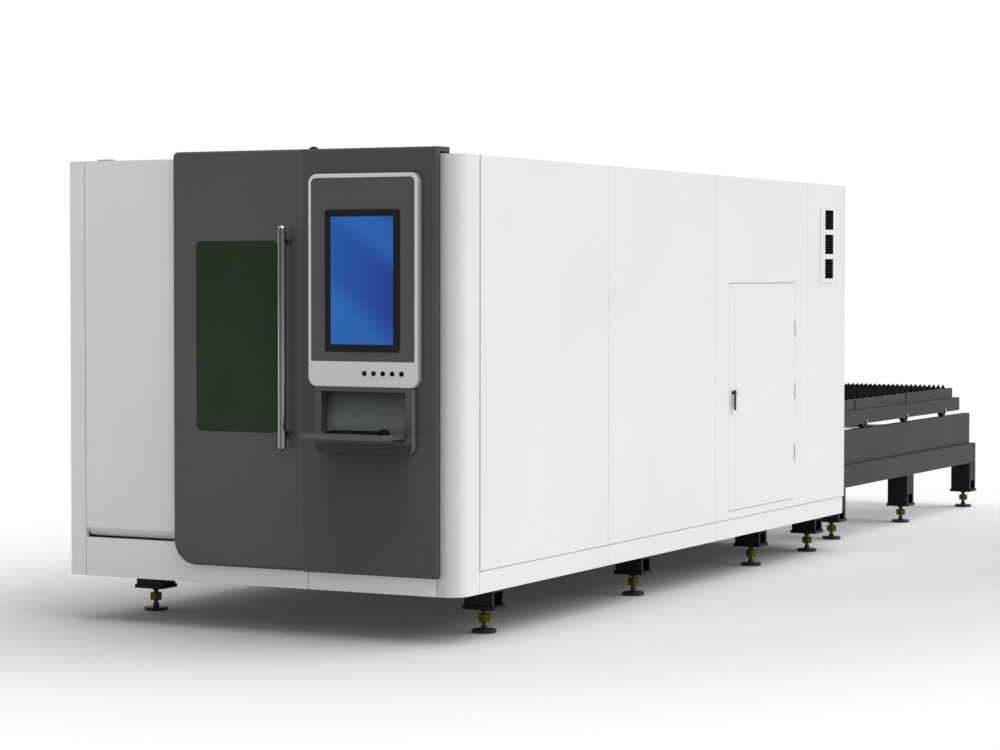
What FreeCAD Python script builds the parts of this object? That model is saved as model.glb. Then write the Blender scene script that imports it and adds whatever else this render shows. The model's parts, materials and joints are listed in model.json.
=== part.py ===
import FreeCAD, Part
import os
import re
import Sketcher
from FreeCAD import Placement, Rotation, Vector

# A sheet laser cutter: an enclosed cabin with a sliding front door, a machine
# bed with a gantry inside it, and a pallet that rolls out on a rear table.
# Machine axes: X to the right seen from the front, Y to the rear, Z up.
# Outlines are drawn from the middle of the cabin (X), its white front face (Y)
# and the lower edge of its skirts (Z). "datum" moves every piece from there to
# the model's origin, on the floor under the middle of the whole machine.

doc = FreeCAD.newDocument("laser_cutter")

SIZES = {
    # cabin
    "cabin_width": 2160, "cabin_height": 2020,
    "skirt_clearance": 223, "sheet": 3, "panel_depth": 30, "panel_gap": 3,
    "corner_depth": 194, "first_bay": 1398, "second_bay": 1393, "third_bay": 1405,
    "rear_bay": 654,
    "left_cover_width": 86, "corner_cover_width": 118, "corner_radius": 88,
    "front_skirt_height": 187, "front_skirt_seam": 274,
    "side_skirt_height": 105, "skirt_short": 27,
    "slot_height": 8, "lip_height": 42, "lip_depth": 46,
    "roof_drop": 40, "wall_return": 120, "corner_web": 30, "gate_margin": 15,
    # cabin frame and shelf of the rear service bay
    "post_width": 47, "post_depth": 80, "roof_rail_height": 60,
    "doorway_left": 400, "doorway_right": 243, "doorway_post": 40, "sill_height": 60,
    "shelf_height": 1000, "shelf_rail": 60,
    "source_width": 800, "source_height": 500, "cabinet_width": 900,
    "cabinet_headroom": 70, "bay_unit_depth": 560, "bay_unit_gap": 100,
    # machine bed, rails and scrap trays
    "bed_beam_width": 135, "bed_bottom": 60, "bed_top": 780, "bed_setback": 120,
    "bed_short": 64, "cross_count": 7, "cross_width": 100, "cross_height": 140,
    "cross_bottom": 100, "cabin_rail_width": 71, "cabin_rail_height": 71,
    "cabin_rail_start": 550, "rail_top": 466,
    "pan_count": 3, "pan_height": 200, "pan_wall": 4, "pan_gap": 20, "pan_side_gap": 7,
    # legs and levelling feet
    "leg_across": 150, "leg_along": 125, "leg_wall": 8, "foot_plate": 18,
    "plate_overhang": 7, "plate_rise": 114, "window_width": 80, "window_height": 62,
    "leg_first": 515, "leg_second": 2218, "leg_third": 3873, "leg_last_inset": 256,
    "pad_radius": 59, "pad_height": 17, "stud_radius": 12, "stud_top": 175,
    "nut_across": 55, "nut_bottom": 51, "nut_height": 38, "thread_play": 0.2,
    # dark front: door, fascia, hood
    "front_proud": 45, "door_gap": 5, "door_left": 452, "door_right": 278,
    "fascia_left": 283, "fascia_lap": 18, "dark_bottom": 87, "hood_rise": 32,
    "hood_gap": 10, "hood_depth": 87, "door_corner": 120, "door_top_corner": 25,
    "edge_round": 20,
    "window_left": 316, "window_right": 140, "window_bottom": 728, "window_top": 1630,
    "window_corner": 16, "window_seat": 10, "pane_depth": 6, "pane_play": 0.5,
    "pane_sink": 1,
    "handle_place": 195, "handle_reach": 53, "handle_radius": 17.5,
    "handle_bottom": 659, "handle_top": 1691, "handle_mount_inset": 68,
    "handle_mount_radius": 11,
    "door_rail_inset": 10, "door_rail_setback": 40, "door_rail_width": 20, "door_rail_height": 20,
    "carriage_half": 30, "carriage_left": 225, "carriage_right": 180,
    "carriage_wall": 6, "door_travel": 600, "stop_length": 89, "slide_play": 0.3,
    # control panel
    "control_offset": 40, "control_width": 583, "control_bottom": 955,
    "control_height": 979, "control_proud": 30, "control_corner": 44,
    "inset_side": 16, "inset_right_side": 21, "inset_bottom": 117, "inset_top": 19,
    "inset_sink": 12, "inset_thick": 8, "inset_corner": 30,
    "bezel_side": 75, "bezel_width": 393, "bezel_bottom": 44, "bezel_height": 652,
    "bezel_thick": 6, "bezel_corner": 12, "screen_margin": 31, "screen_margin_low": 34,
    "screen_sink": 4, "screen_thick": 3,
    "button_radius": 11, "button_pitch": 48.75, "button_first": 301,
    "button_rise": 63, "button_proud": 5, "button_length": 18, "button_travel": 2.5,
    # keyboard shelf
    "housing_offset": 33, "housing_width": 519, "housing_height": 310,
    "housing_proud": 28, "housing_corner": 40, "recess_side": 33, "recess_bottom": 67,
    "recess_width": 448, "recess_height": 221, "recess_depth": 60,
    "shelf_thick": 25, "shelf_reach": 197, "shelf_side_gap": 2, "shelf_corner": 25,
    "hinge_inset": 12, "hinge_rise": 22.5, "pin_radius": 4, "pin_length": 4.5,
    "running_play": 0.08,
    "keyboard_width": 275, "keyboard_depth": 105, "keyboard_thick": 10,
    "keyboard_left": 95, "keyboard_back": 40,
    "mouse_width": 46, "mouse_length": 66, "mouse_height": 26, "mouse_right": 12,
    "mouse_back": 109, "mouse_round": 18,
    # service door and vent
    "service_inset": 198, "service_width": 1011, "service_bottom": 149.5,
    "service_height": 1276.5, "hinge_radius": 5, "hinge_length": 90, "hinge_leaf": 28,
    "hinge_count": 3, "latch_setback": 48, "latch_rise": 665, "latch_reach": 28,
    "latch_arm": 99, "latch_boss": 15, "latch_shaft": 6, "tongue_reach": 37,
    "tongue_width": 24, "tongue_thick": 6,
    "vent_inset": 218, "vent_width": 284, "vent_drop": 597, "vent_height": 457,
    "louvre_inset": 77, "louvre_width": 138, "louvre_rise": 27,
    "louvre_height": 118, "louvre_edge": 7, "louvre_slot": 8, "louvre_pitch": 16,
    "louvre_count": 7,
    "louvre_group_pitch": 148, "louvre_groups": 3, "vent_margin": 12,
    # gantry and cutting head
    "guide_height": 38, "guide_width": 40, "guide_start": 150, "guide_short": 50,
    "gantry_park": 3350, "gantry_depth": 300, "gantry_height": 320,
    "gantry_clearance": 18, "shoe_gap": 10, "shoe_length": 80, "shoe_width": 110, "shoe_height": 70,
    "shoe_inset": 20, "beam_rail_height": 30, "beam_rail_depth": 15,
    "beam_rail_inset": 40, "head_plate_half": 120, "head_plate_depth": 70,
    "head_plate_inset": 20, "head_half": 50, "head_depth": 100, "head_bottom": 850,
    "head_height": 300, "collar_radius": 36, "collar_height": 45, "nozzle_radius": 14,
    "nozzle_tip": 760,
    # exchange table
    "table_length": 3366, "rail_short": 72, "beam_width": 140, "beam_bottom": 103,
    "beam_height": 142, "beam_overhang": 25, "table_rail_width": 50,
    "table_leg_first": 536, "table_leg_second": 1893, "table_leg_inset": 71,
    "table_leg_side": 140, "table_cross_height": 125,
    # pallet
    "pallet_inset": 261, "pallet_length": 3312, "pallet_lift": 31,
    "pallet_beam_height": 93, "pallet_web": 8, "pallet_flange": 50,
    "pallet_tube": 60, "wheel_radius": 47, "wheel_width": 36, "wheel_gap": 3,
    "wheel_play": 0.3, "wheel_first": 498, "wheel_pitch": 829, "wheel_rows": 4,
    "axle_radius": 12, "axle_end": 5,
    "holder_setback": 12, "holder_thick": 24, "holder_wall": 6, "holder_height": 72,
    "holder_start": 112, "holder_length": 1022, "holder_rows": 3, "holder_seam": 2,
    "slat_count": 25, "slat_first": 174, "slat_pitch": 119.3, "slat_thick": 4,
    "slat_play": 0.5, "slat_seat": 10, "tooth_height": 28, "tooth_pitch": 168.5,
    # pallet drive
    "shaft_radius": 20, "shaft_place": 106, "idler_inset": 88, "shaft_rise": 105,
    "sprocket_radius": 55, "chain_inset": 81, "chain_width": 16, "chain_thick": 12,
    "bearing_length": 37, "bearing_side": 80, "gearbox_side": 130,
    "gearbox_place": 300, "gearbox_width": 120, "motor_radius": 60, "motor_length": 240,
    # lifting eyes
    "eye_first": 511, "eye_second_gap": 140, "eye_outer": 37, "eye_inner": 19,
    "eye_thick": 16, "eye_neck": 30, "eye_rise": 76, "eye_base": 80,
    "eye_base_thick": 10,
    # flats of the many-sided bars, and how far a cutter stands over its piece
    "few_sides": 8, "some_sides": 12, "many_sides": 20, "overcut": 1,
}

PLACES = {
    "half_width": "cabin_width / 2",
    "first_seam": "corner_depth + first_bay",
    "second_seam": "first_seam + second_bay",
    "third_seam": "second_seam + third_bay",
    "cabin_length": "third_seam + rear_bay",
    "table_end": "cabin_length + table_length",
    "rail_end": "table_end - rail_short",
    "wall_in": "half_width - panel_depth",
    "mid": "-latch_reach / 2",
    "shelf_front": "front_proud + housing_proud - hinge_inset + shelf_reach",
    "datum_y": "-(table_end - shelf_front) / 2",
    "roof_top": "cabin_height - roof_drop",
    "eye_second": "third_seam + eye_second_gap",
    "leg_fourth": "cabin_length - leg_last_inset",
    "fascia_right": "half_width - corner_cover_width + fascia_lap",
    "roof_bottom": "roof_top - panel_depth",
    "back_in": "cabin_length - panel_depth",
    "door_back": "-door_gap",
    "dark_top": "cabin_height + hood_rise",
    "hood_bottom": "cabin_height + hood_gap",
    "bed_out": "wall_in - post_width",
    "bed_in": "bed_out - bed_beam_width",
    "bed_end": "cabin_length - bed_short",
    "rail_in": "bed_in - cabin_rail_width",
    "pallet_out": "rail_in + table_rail_width",
    "beam_out": "pallet_out + beam_overhang",
    "beam_in": "beam_out - beam_width",
    "beam_top": "beam_bottom + beam_height",
    "leg_x": "(bed_out + bed_in) / 2",
    "table_leg_x": "beam_out - table_leg_side / 2",
    "plate_bottom": "plate_rise - skirt_clearance",
    "pan_top": "cross_bottom + cross_height + pan_height",
    "control_left": "fascia_left + control_offset",
    "control_face": "-(front_proud + control_proud)",
    "inset_left": "control_left + inset_side",
    "inset_low": "control_bottom + inset_bottom",
    "bezel_left": "inset_left + bezel_side",
    "bezel_low": "inset_low + bezel_bottom",
    "inset_back": "control_face + inset_sink",
    "inset_face": "inset_back - inset_thick",
    "bezel_face": "inset_face - bezel_thick",
    "housing_left": "control_left + housing_offset",
    "housing_low": "control_bottom - housing_height",
    "housing_face": "-(front_proud + housing_proud)",
    "recess_left": "housing_left + recess_side",
    "recess_low": "housing_low + recess_bottom",
    "recess_back": "housing_face + recess_depth",
    "shelf_left": "recess_left + shelf_side_gap",
    "shelf_right": "recess_left + recess_width - shelf_side_gap",
    "hinge_y": "housing_face + hinge_inset",
    "hinge_z": "recess_low + hinge_rise",
    "shelf_tip": "hinge_y - shelf_reach",
    "shelf_top": "hinge_z + shelf_thick / 2",
    "service_start": "second_seam + service_inset",
    "service_end": "service_start + service_width",
    "service_top": "service_bottom + service_height",
    "vent_start": "third_seam + vent_inset",
    "vent_end": "vent_start + vent_width",
    "vent_bottom": "cabin_height - vent_drop",
    "vent_top": "vent_bottom + vent_height",
    "louvre_start": "vent_start + louvre_inset",
    "louvre_end": "louvre_start + louvre_width",
    "louvre_bottom": "vent_bottom + louvre_rise",
    "service_hinge_x": "half_width + slide_play + hinge_radius",
    "service_hinge_y": "service_end - panel_gap / 2",
    "latch_y": "service_start + latch_setback",
    "latch_z": "service_bottom + latch_rise",
    "guide_top": "bed_top + guide_height",
    "guide_end": "third_seam - guide_short",
    "gantry_bottom": "bed_top + shoe_gap + shoe_height",
    "gantry_top": "gantry_bottom + gantry_height",
    "gantry_half": "bed_out - gantry_clearance",
    "plate_back": "gantry_park - slide_play",
    "plate_front": "plate_back - head_plate_depth",
    "head_back": "plate_front - slide_play",
    "head_y": "head_back - head_depth / 2",
    "collar_low": "head_bottom - collar_height",
    "pallet_start": "cabin_length - pallet_inset",
    "axle_z": "rail_top + wheel_radius + wheel_play",
    "pallet_bottom": "rail_top + pallet_lift",
    "pallet_top": "pallet_bottom + pallet_beam_height",
    "pallet_end": "pallet_start + pallet_length",
    "web_in": "pallet_out - pallet_web",
    "wheel_in": "rail_in + wheel_gap",
    "holder_out": "pallet_out - holder_setback",
    "holder_in": "holder_out - holder_thick",
    "holder_top": "pallet_top + holder_height",
    "slat_low": "pallet_top + slat_seat",
    "slat_half": "holder_out - holder_wall - slat_play",
    "teeth": "floor(2 * slat_half / tooth_pitch)",
    "shaft_y": "cabin_length + shaft_place",
    "idler_y": "rail_end - idler_inset",
    "shaft_z": "beam_top + shaft_rise",
    "chain_x": "rail_in - chain_inset",
}


# ---------------------------------------------------------------- sheets

def make_sheet(name, cells, prefix):
    sheet = doc.addObject("Spreadsheet::Sheet", name)
    for row, (alias, value) in enumerate(cells.items(), 1):
        sheet.set("A%d" % row, alias)
        sheet.set("B%d" % row, prefix + full(str(value)))
        sheet.setAlias("B%d" % row, alias)
    doc.recompute()
    return sheet


def full(expression):
    """The expression with each named value led back to its sheet."""
    def lead(match):
        word = match.group(0)
        if word in SIZES:
            return "sizes." + word
        return "places." + word if word in PLACES else word
    return re.sub(r"[a-z_]+", lead, expression)


sizes = make_sheet("sizes", SIZES, "")
places = make_sheet("places", PLACES, "=")


def number(expression):
    return float(places.evalExpression(full(expression)))


def bind(thing, prop, expression):
    thing.setExpression(prop, full(expression))


# ---------------------------------------------------------------- helpers

NODES = []
POCKETS = []


def node(name, thing):
    """Names a finished piece and moves it from the machine's datum to the origin."""
    thing.Label = name
    if thing.TypeId == "Part::Feature":
        base = Vector(number("mid"), number("datum_y"), number("skirt_clearance"))
        thing.Placement = Placement(base, Rotation())
    else:
        bind(thing, "Placement.Base.x", "mid")
        bind(thing, "Placement.Base.y", "datum_y")
        bind(thing, "Placement.Base.z", "skirt_clearance")
    NODES.append(thing)
    return thing


def rectangle(left, right, low, high):
    return [(left, low), (right, low), (right, high), (left, high)]


def outline(body, plane, loops, start):
    """A sketch of closed outlines, each corner held by its two named distances."""
    drawing = body.newObject("Sketcher::SketchObject", "outline")
    role = plane + "_Plane"
    support = next(o for o in body.Origin.OriginFeatures if o.Role == role)
    drawing.AttachmentSupport = [(support, "")]
    drawing.MapMode = "FlatFace"
    bind(drawing, "AttachmentOffset.Base.z", start)
    for points in loops:
        first = drawing.GeometryCount
        count = len(points)
        spots = [Vector(number(a), number(b), 0) for a, b in points]
        for i in range(count):
            line = Part.LineSegment(spots[i], spots[(i + 1) % count])
            drawing.addGeometry(line, False)
        for i in range(count):
            after = first + (i + 1) % count
            drawing.addConstraint(Sketcher.Constraint("Coincident", first + i, 2, after, 1))
        for i, pair in enumerate(points):
            for kind, expression in zip(("DistanceX", "DistanceY"), pair):
                held = Sketcher.Constraint(kind, -1, 1, first + i, 1, number(expression))
                index = drawing.addConstraint(held)
                bind(drawing, "Constraints[%d]" % index, expression)
    return drawing


def start_of(plane, low, high):
    """The offset a sketch starts from: the XZ plane looks along -Y."""
    return "-(%s)" % high if plane == "XZ" else low


def pad(body, plane, loops, low, high):
    feature = body.newObject("PartDesign::Pad", "pad")
    feature.Profile = outline(body, plane, loops, start_of(plane, low, high))
    bind(feature, "Length", "(%s) - (%s)" % (high, low))
    body.Tip = feature
    return feature


def pocket(body, plane, loops, low, high):
    base = body.Tip
    feature = body.newObject("PartDesign::Pocket", "pocket")
    feature.Profile = outline(body, plane, loops, start_of(plane, low, high))
    feature.Reversed = True
    bind(feature, "Length", "(%s) - (%s)" % (high, low))
    body.Tip = feature
    POCKETS.append((base, feature))
    return feature


def row(body, features, axis, pitch, count):
    pattern = body.newObject("PartDesign::LinearPattern", "row")
    pattern.Originals = features
    pattern.Direction = (features[0].Profile[0], [axis])
    bind(pattern, "Length", "(%s) * (%s - 1)" % (pitch, count))
    bind(pattern, "Occurrences", count)
    body.Tip = pattern
    return pattern


def round_edges(body, along, spots, radius):
    """Rounds the straight edges along one axis that pass through the given spots."""
    doc.recompute()
    others = [i for i in range(3) if i != "XYZ".index(along)]
    wanted = [[number(value) for value in spot] for spot in spots]
    names = []
    base = body.Tip
    for index, edge in enumerate(base.Shape.Edges, 1):
        ends = [vertex.Point for vertex in edge.Vertexes]
        if len(ends) != 2:
            continue
        for spot in wanted:
            if all(abs(end[o] - v) < 0.01 for end in ends for o, v in zip(others, spot)):
                names.append("Edge%d" % index)
    fillet = body.newObject("PartDesign::Fillet", "rounding")
    fillet.Base = (base, names)
    bind(fillet, "Radius", radius)
    body.Tip = fillet
    return fillet


def new_body(name):
    return doc.addObject("PartDesign::Body", name)


def plate(plane, left, right, low, high, near, far):
    """A plain rectangular piece: a plate, a bar or a closed box section."""
    body = new_body("plate")
    pad(body, plane, [rectangle(left, right, low, high)], near, far)
    return body


def tray(plane, left, right, low, high, near, far, open_near):
    """A folded sheet panel: a skin with a rim on all four sides."""
    body = plate(plane, left, right, low, high, near, far)
    inside = [("%s + sheet" % left, "%s + sheet" % low),
              ("%s - sheet" % right, "%s + sheet" % low),
              ("%s - sheet" % right, "%s - sheet" % high),
              ("%s + sheet" % left, "%s - sheet" % high)]
    if open_near:
        pocket(body, plane, [inside], near, "%s - sheet" % far)
    else:
        pocket(body, plane, [inside], "%s + sheet" % near, far)
    return body


def box(left, right, front, back, low, high):
    piece = doc.addObject("Part::Box", "bar")
    bind(piece, "Length", "(%s) - (%s)" % (right, left))
    bind(piece, "Width", "(%s) - (%s)" % (back, front))
    bind(piece, "Height", "(%s) - (%s)" % (high, low))
    for axis, value in zip("xyz", (left, front, low)):
        bind(piece, "Placement.Base." + axis, value)
    return piece


TURNS = {"X": Rotation(Vector(0, 1, 0), 90), "Y": Rotation(Vector(1, 0, 0), -90),
         "Z": Rotation()}


def cylinder(along, spot, radius, length):
    """A round bar from the spot along +X, +Y or +Z."""
    piece = doc.addObject("Part::Cylinder", "round")
    piece.Placement = Placement(Vector(), TURNS[along])
    for axis, value in zip("xyz", spot):
        bind(piece, "Placement.Base." + axis, value)
    bind(piece, "Radius", radius)
    bind(piece, "Height", length)
    return piece


def prism(along, spot, radius, length, sides):
    """A many-sided bar from the spot along +X, +Y or +Z, its corners at the radius."""
    piece = doc.addObject("Part::Prism", "flats")
    piece.Placement = Placement(Vector(), TURNS[along])
    for axis, value in zip("xyz", spot):
        bind(piece, "Placement.Base." + axis, value)
    bind(piece, "Polygon", sides)
    bind(piece, "Circumradius", radius)
    bind(piece, "Height", length)
    return piece


def flat_bore(along, spot, radius, length, sides):
    """A many-sided hole that a round bar of the radius still turns in."""
    return prism(along, spot, "(%s) / cos(180 / %s)" % (radius, sides), length, sides)


def fused(*pieces):
    joined = doc.addObject("Part::MultiFuse", "joined")
    joined.Shapes = list(pieces)
    joined.Refine = True
    return joined


def cut(base, tool):
    rest = doc.addObject("Part::Cut", "rest")
    rest.Base = base
    rest.Tool = tool
    return rest


def group(*pieces):
    """Like pieces that share one file and stay separate solids."""
    together = doc.addObject("Part::Compound", "set")
    together.Links = list(pieces)
    return together


def copies(source, spots):
    """The same piece again at each spot."""
    doc.recompute()
    shapes = []
    for spot in spots:
        shape = source.Shape.copy()
        shape.translate(Vector(*spot))
        shapes.append(shape)
    holder = doc.addObject("Part::Feature", "copies")
    holder.Shape = Part.makeCompound(shapes)
    return holder


def sided(side, inner, outer):
    """The two X limits of a piece on the right (1) or mirrored to the left (-1)."""
    if side > 0:
        return inner, outer
    return "-(%s)" % outer, "-(%s)" % inner


# ---------------------------------------------------------------- machine bed

def bed_frame():
    beams = []
    for side in (1, -1):
        left, right = sided(side, "bed_in", "bed_out")
        beams.append(box(left, right, "bed_setback", "bed_end", "bed_bottom", "bed_top"))
    step = "((bed_end - bed_setback - cross_width) / (cross_count - 1))"
    for i in range(int(number("cross_count"))):
        front = "bed_setback + %d * %s" % (i, step)
        beams.append(box("-bed_in", "bed_in", front, front + " + cross_width",
                         "cross_bottom", "cross_bottom + cross_height"))
    node("bed_frame", group(*beams))


def slag_pans():
    step = "((bed_end - bed_setback + pan_gap) / pan_count)"
    body = new_body("pan")
    low = "cross_bottom + cross_height"
    half = "rail_in - pan_side_gap"
    back = "bed_setback + %s - pan_gap" % step
    pad(body, "XY", [rectangle("-(%s)" % half, half, "bed_setback", back)], low, "pan_top")
    pocket(body, "XY", [rectangle("-(%s) + pan_wall" % half, "%s - pan_wall" % half,
                                  "bed_setback + pan_wall", back + " - pan_wall")],
           low + " + pan_wall", "pan_top")
    spots = [(0, i * number(step), 0) for i in range(int(number("pan_count")))]
    node("slag_pans", copies(body, spots))


def pallet_rail_beams():
    beams = []
    for side in (1, -1):
        left, right = sided(side, "rail_in", "bed_in")
        beams.append(box(left, right, "cabin_rail_start", "cabin_length",
                         "rail_top - cabin_rail_height", "rail_top"))
        left, right = sided(side, "rail_in", "pallet_out")
        beams.append(box(left, right, "cabin_length", "rail_end", "beam_top", "rail_top"))
    node("pallet_rail_beams", group(*beams))


def leg(across, along, top):
    """A square tube on a base plate, with a hand window to reach the stud's nut."""
    body = new_body("leg")
    half_x = "%s / 2" % across
    half_y = "%s / 2" % along
    plate_top = "plate_bottom + foot_plate"
    pad(body, "XY", [rectangle("-%s - plate_overhang" % half_x, "%s + plate_overhang" % half_x,
                               "-%s - plate_overhang" % half_y, "%s + plate_overhang" % half_y)],
        "plate_bottom", plate_top)
    pad(body, "XY", [rectangle("-" + half_x, half_x, "-" + half_y, half_y)], plate_top, top)
    pocket(body, "XY", [rectangle("-%s + leg_wall" % half_x, "%s - leg_wall" % half_x,
                                  "-%s + leg_wall" % half_y, "%s - leg_wall" % half_y)],
           plate_top, top)
    pocket(body, "YZ", [rectangle("-window_width / 2", "window_width / 2",
                                  plate_top, plate_top + " + window_height")],
           "%s - leg_wall - overcut" % half_x, "%s + overcut" % half_x)
    bore = prism("Z", ("0", "0", "plate_bottom - overcut"), "stud_radius + thread_play",
                 "foot_plate + 2 * overcut", "few_sides")
    return cut(body, bore)


def leg_spots():
    """Where the legs stand: (X, Y) of the cabin's, then of the table's."""
    cabin = []
    table = []
    for side in (1, -1):
        for name in ("leg_first", "leg_second", "leg_third", "leg_fourth"):
            cabin.append((side * number("leg_x"), number(name)))
        for y in ("cabin_length + table_leg_first", "cabin_length + table_leg_second",
                  "table_end - table_leg_inset"):
            table.append((side * number("table_leg_x"), number(y)))
    return cabin, table


def legs_and_feet():
    cabin, table = leg_spots()
    cabin_leg = leg("leg_across", "leg_along", "bed_bottom")
    table_leg = leg("table_leg_side", "table_leg_side", "beam_bottom")
    doc.recompute()
    shapes = []
    for source, spots in ((cabin_leg, cabin), (table_leg, table)):
        for x, y in spots:
            shape = source.Shape.copy()
            if x < 0:
                shape.rotate(Vector(), Vector(0, 0, 1), 180)
            shape.translate(Vector(x, y, 0))
            shapes.append(shape)
    legs = doc.addObject("Part::Feature", "legs")
    legs.Shape = Part.makeCompound(shapes)
    node("legs", legs)

    floor = "-skirt_clearance"
    spots = [(x, y, 0) for x, y in cabin + table]
    foot = fused(prism("Z", ("0", "0", floor), "pad_radius", "pad_height", "some_sides"),
                 prism("Z", ("0", "0", floor + " + pad_height / 2"), "stud_radius",
                       "stud_top - pad_height / 2", "few_sides"))
    node("leveling_feet", copies(foot, spots))

    low = floor + " + nut_bottom"
    nut = prism("Z", ("0", "0", low), "nut_across / sqrt(3)", "nut_height", "6")
    thread = prism("Z", ("0", "0", low + " - overcut"), "stud_radius + thread_play",
                   "nut_height + 2 * overcut", "few_sides")
    node("lock_nuts", copies(cut(nut, thread), spots))


# ---------------------------------------------------------------- cabin

POST_SEAMS = ("first_seam", "second_seam", "third_seam")


def cabin_frame():
    bars = []
    lines = [("panel_depth", "panel_depth + post_depth")]
    for seam in POST_SEAMS:
        lines.append((seam + " - post_depth / 2", seam + " + post_depth / 2"))
    lines.append(("back_in - post_depth", "back_in"))
    rail_low = "roof_bottom - roof_rail_height"
    for side in (1, -1):
        left, right = sided(side, "bed_out", "wall_in")
        for front, back in lines:
            bars.append(box(left, right, front, back, "0", rail_low))
        bars.append(box(left, right, "panel_depth", "back_in", rail_low, "roof_bottom"))
    for front, back in lines:
        bars.append(box("-bed_out", "bed_out", front, back, rail_low, "roof_bottom"))
    front, back = lines[0]
    for left, right in (("-doorway_left - doorway_post", "-doorway_left"),
                        ("doorway_right", "doorway_right + doorway_post")):
        bars.append(box(left, right, front, back, "0", rail_low))
    bars.append(box("-doorway_left", "doorway_right", front, back, "0", "sill_height"))
    for front, back in lines[3:]:
        bars.append(box("-bed_out", "bed_out", front, back,
                        "shelf_height - shelf_rail", "shelf_height"))
    node("cabin_frame", group(*bars))


def service_bay():
    front = "third_seam + post_depth / 2"
    back = front + " + bay_unit_depth - post_depth / 2"
    half = "bay_unit_gap / 2"
    node("laser_source", plate("XY", "-%s - source_width" % half, "-" + half, front, back,
                               "shelf_height", "shelf_height + source_height"))
    node("electrical_cabinet", plate("XY", half, "%s + cabinet_width" % half, front, back,
                                     "shelf_height", "roof_bottom - cabinet_headroom"))


def cover_block(edge, side):
    """The L-shaped block behind a front corner, from its front edge to its side."""
    def s(value):
        return value if side > 0 else "-(%s)" % value
    return [(s(edge), "0"), (s("half_width"), "0"), (s("half_width"), "corner_depth"),
            (s("wall_in"), "corner_depth"), (s("wall_in"), "panel_depth"), (s(edge), "panel_depth")]


def front_covers():
    left = new_body("left_cover")
    edge = "half_width - left_cover_width"
    pad(left, "XY", [cover_block(edge, -1)], "0", "cabin_height")
    inner = [("-(%s) - sheet" % edge, "sheet"), ("-half_width + sheet", "sheet"),
             ("-half_width + sheet", "corner_depth - sheet"),
             ("-wall_in - sheet", "corner_depth - sheet"),
             ("-wall_in - sheet", "panel_depth - sheet"),
             ("-(%s) - sheet" % edge, "panel_depth - sheet")]
    pocket(left, "XY", [inner], "0", "cabin_height - sheet")
    node("front_left_cover", left)

    right = new_body("corner_cover")
    edge = "half_width - corner_cover_width"
    pad(right, "XY", [cover_block(edge, 1)], "0", "cabin_height")
    inner = [(edge + " + sheet", "sheet"), ("half_width - sheet", "sheet"),
             ("half_width - sheet", "corner_depth - sheet"),
             ("wall_in + sheet", "corner_depth - sheet"),
             ("wall_in + sheet", "panel_depth + corner_web"),
             ("wall_in + sheet - corner_web", "panel_depth - sheet"),
             (edge + " + sheet", "panel_depth - sheet")]
    pocket(right, "XY", [inner], "0", "cabin_height - sheet")
    round_edges(right, "Z", [("half_width - sheet", "sheet")], "corner_radius - sheet")
    round_edges(right, "Z", [("half_width", "0")], "corner_radius")
    node("front_corner_cover", right)


def front_bay_panel():
    """One folded sheet: skin, top return, and a lower lip that turns inward."""
    low = "front_skirt_height + slot_height"
    fold = low + " + lip_height"
    profile = [("0", fold), ("0", "cabin_height"), ("panel_depth", "cabin_height"),
               ("panel_depth", "cabin_height - wall_return"),
               ("panel_depth - sheet", "cabin_height - wall_return"),
               ("panel_depth - sheet", "cabin_height - sheet"),
               ("sheet", "cabin_height - sheet"), ("sheet", fold + " + sheet / 2"),
               ("lip_depth", low + " + sheet"), ("lip_depth", low)]
    body = new_body("bay_panel")
    left = "-half_width + left_cover_width + panel_gap"
    pad(body, "YZ", [profile], left, "fascia_left")
    pocket(body, "XZ", [rectangle("-doorway_left", "fascia_left + overcut", low + " - overcut",
                                  "roof_bottom - roof_rail_height")], "-overcut", "lip_depth + overcut")
    pocket(body, "XZ", [rectangle("-doorway_left - doorway_post - panel_gap",
                                  "-doorway_left + overcut", low + " - overcut", fold)],
           "panel_depth", "lip_depth + overcut")
    node("front_bay_panel", body)


def front_skirts():
    left = "-half_width + left_cover_width + panel_gap"
    right = "half_width - corner_cover_width - panel_gap"
    node("front_skirts", group(
        tray("XZ", left, "front_skirt_seam", "0", "front_skirt_height", "0", "panel_depth", False),
        tray("XZ", "front_skirt_seam + panel_gap", right, "0", "front_skirt_height",
             "0", "panel_depth", False)))


SEAMS = ("corner_depth", "first_seam", "second_seam", "third_seam", "cabin_length")


def side_tray(side, front, back, low, high):
    near, far = sided(side, "wall_in", "half_width")
    return tray("YZ", front + " + panel_gap", back, low, high, near, far, side > 0)


def side_panels():
    low = "side_skirt_height"
    plain = []
    skirts = []
    for side in (1, -1):
        for i in range(4):
            if side < 0 or i < 2:
                plain.append(side_tray(side, SEAMS[i], SEAMS[i + 1], low, "cabin_height"))
            end = SEAMS[i + 1] if i < 3 else "cabin_length - skirt_short"
            skirts.append(side_tray(side, SEAMS[i], end, "0", low + " - panel_gap"))
    node("side_panels", group(*plain))
    node("side_skirts", group(*skirts))

    service = side_tray(1, "second_seam", "third_seam", low, "cabin_height")
    rim = rectangle("service_start - sheet", "service_end + sheet",
                    "service_bottom - sheet", "service_top + sheet")
    pad(service, "YZ", [rim], "wall_in", "half_width")
    pocket(service, "YZ", [rectangle("service_start", "service_end",
                                     "service_bottom", "service_top")],
           "wall_in - overcut", "half_width + overcut")
    node("side_panel_service", service)

    vent = side_tray(1, "third_seam", "cabin_length", low, "cabin_height")
    pocket(vent, "YZ", [rectangle("vent_start + vent_margin", "vent_end - vent_margin",
                                  "vent_bottom + vent_margin", "vent_top - vent_margin")],
           "half_width - sheet - overcut", "half_width + overcut")
    node("side_panel_vent", vent)


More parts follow.
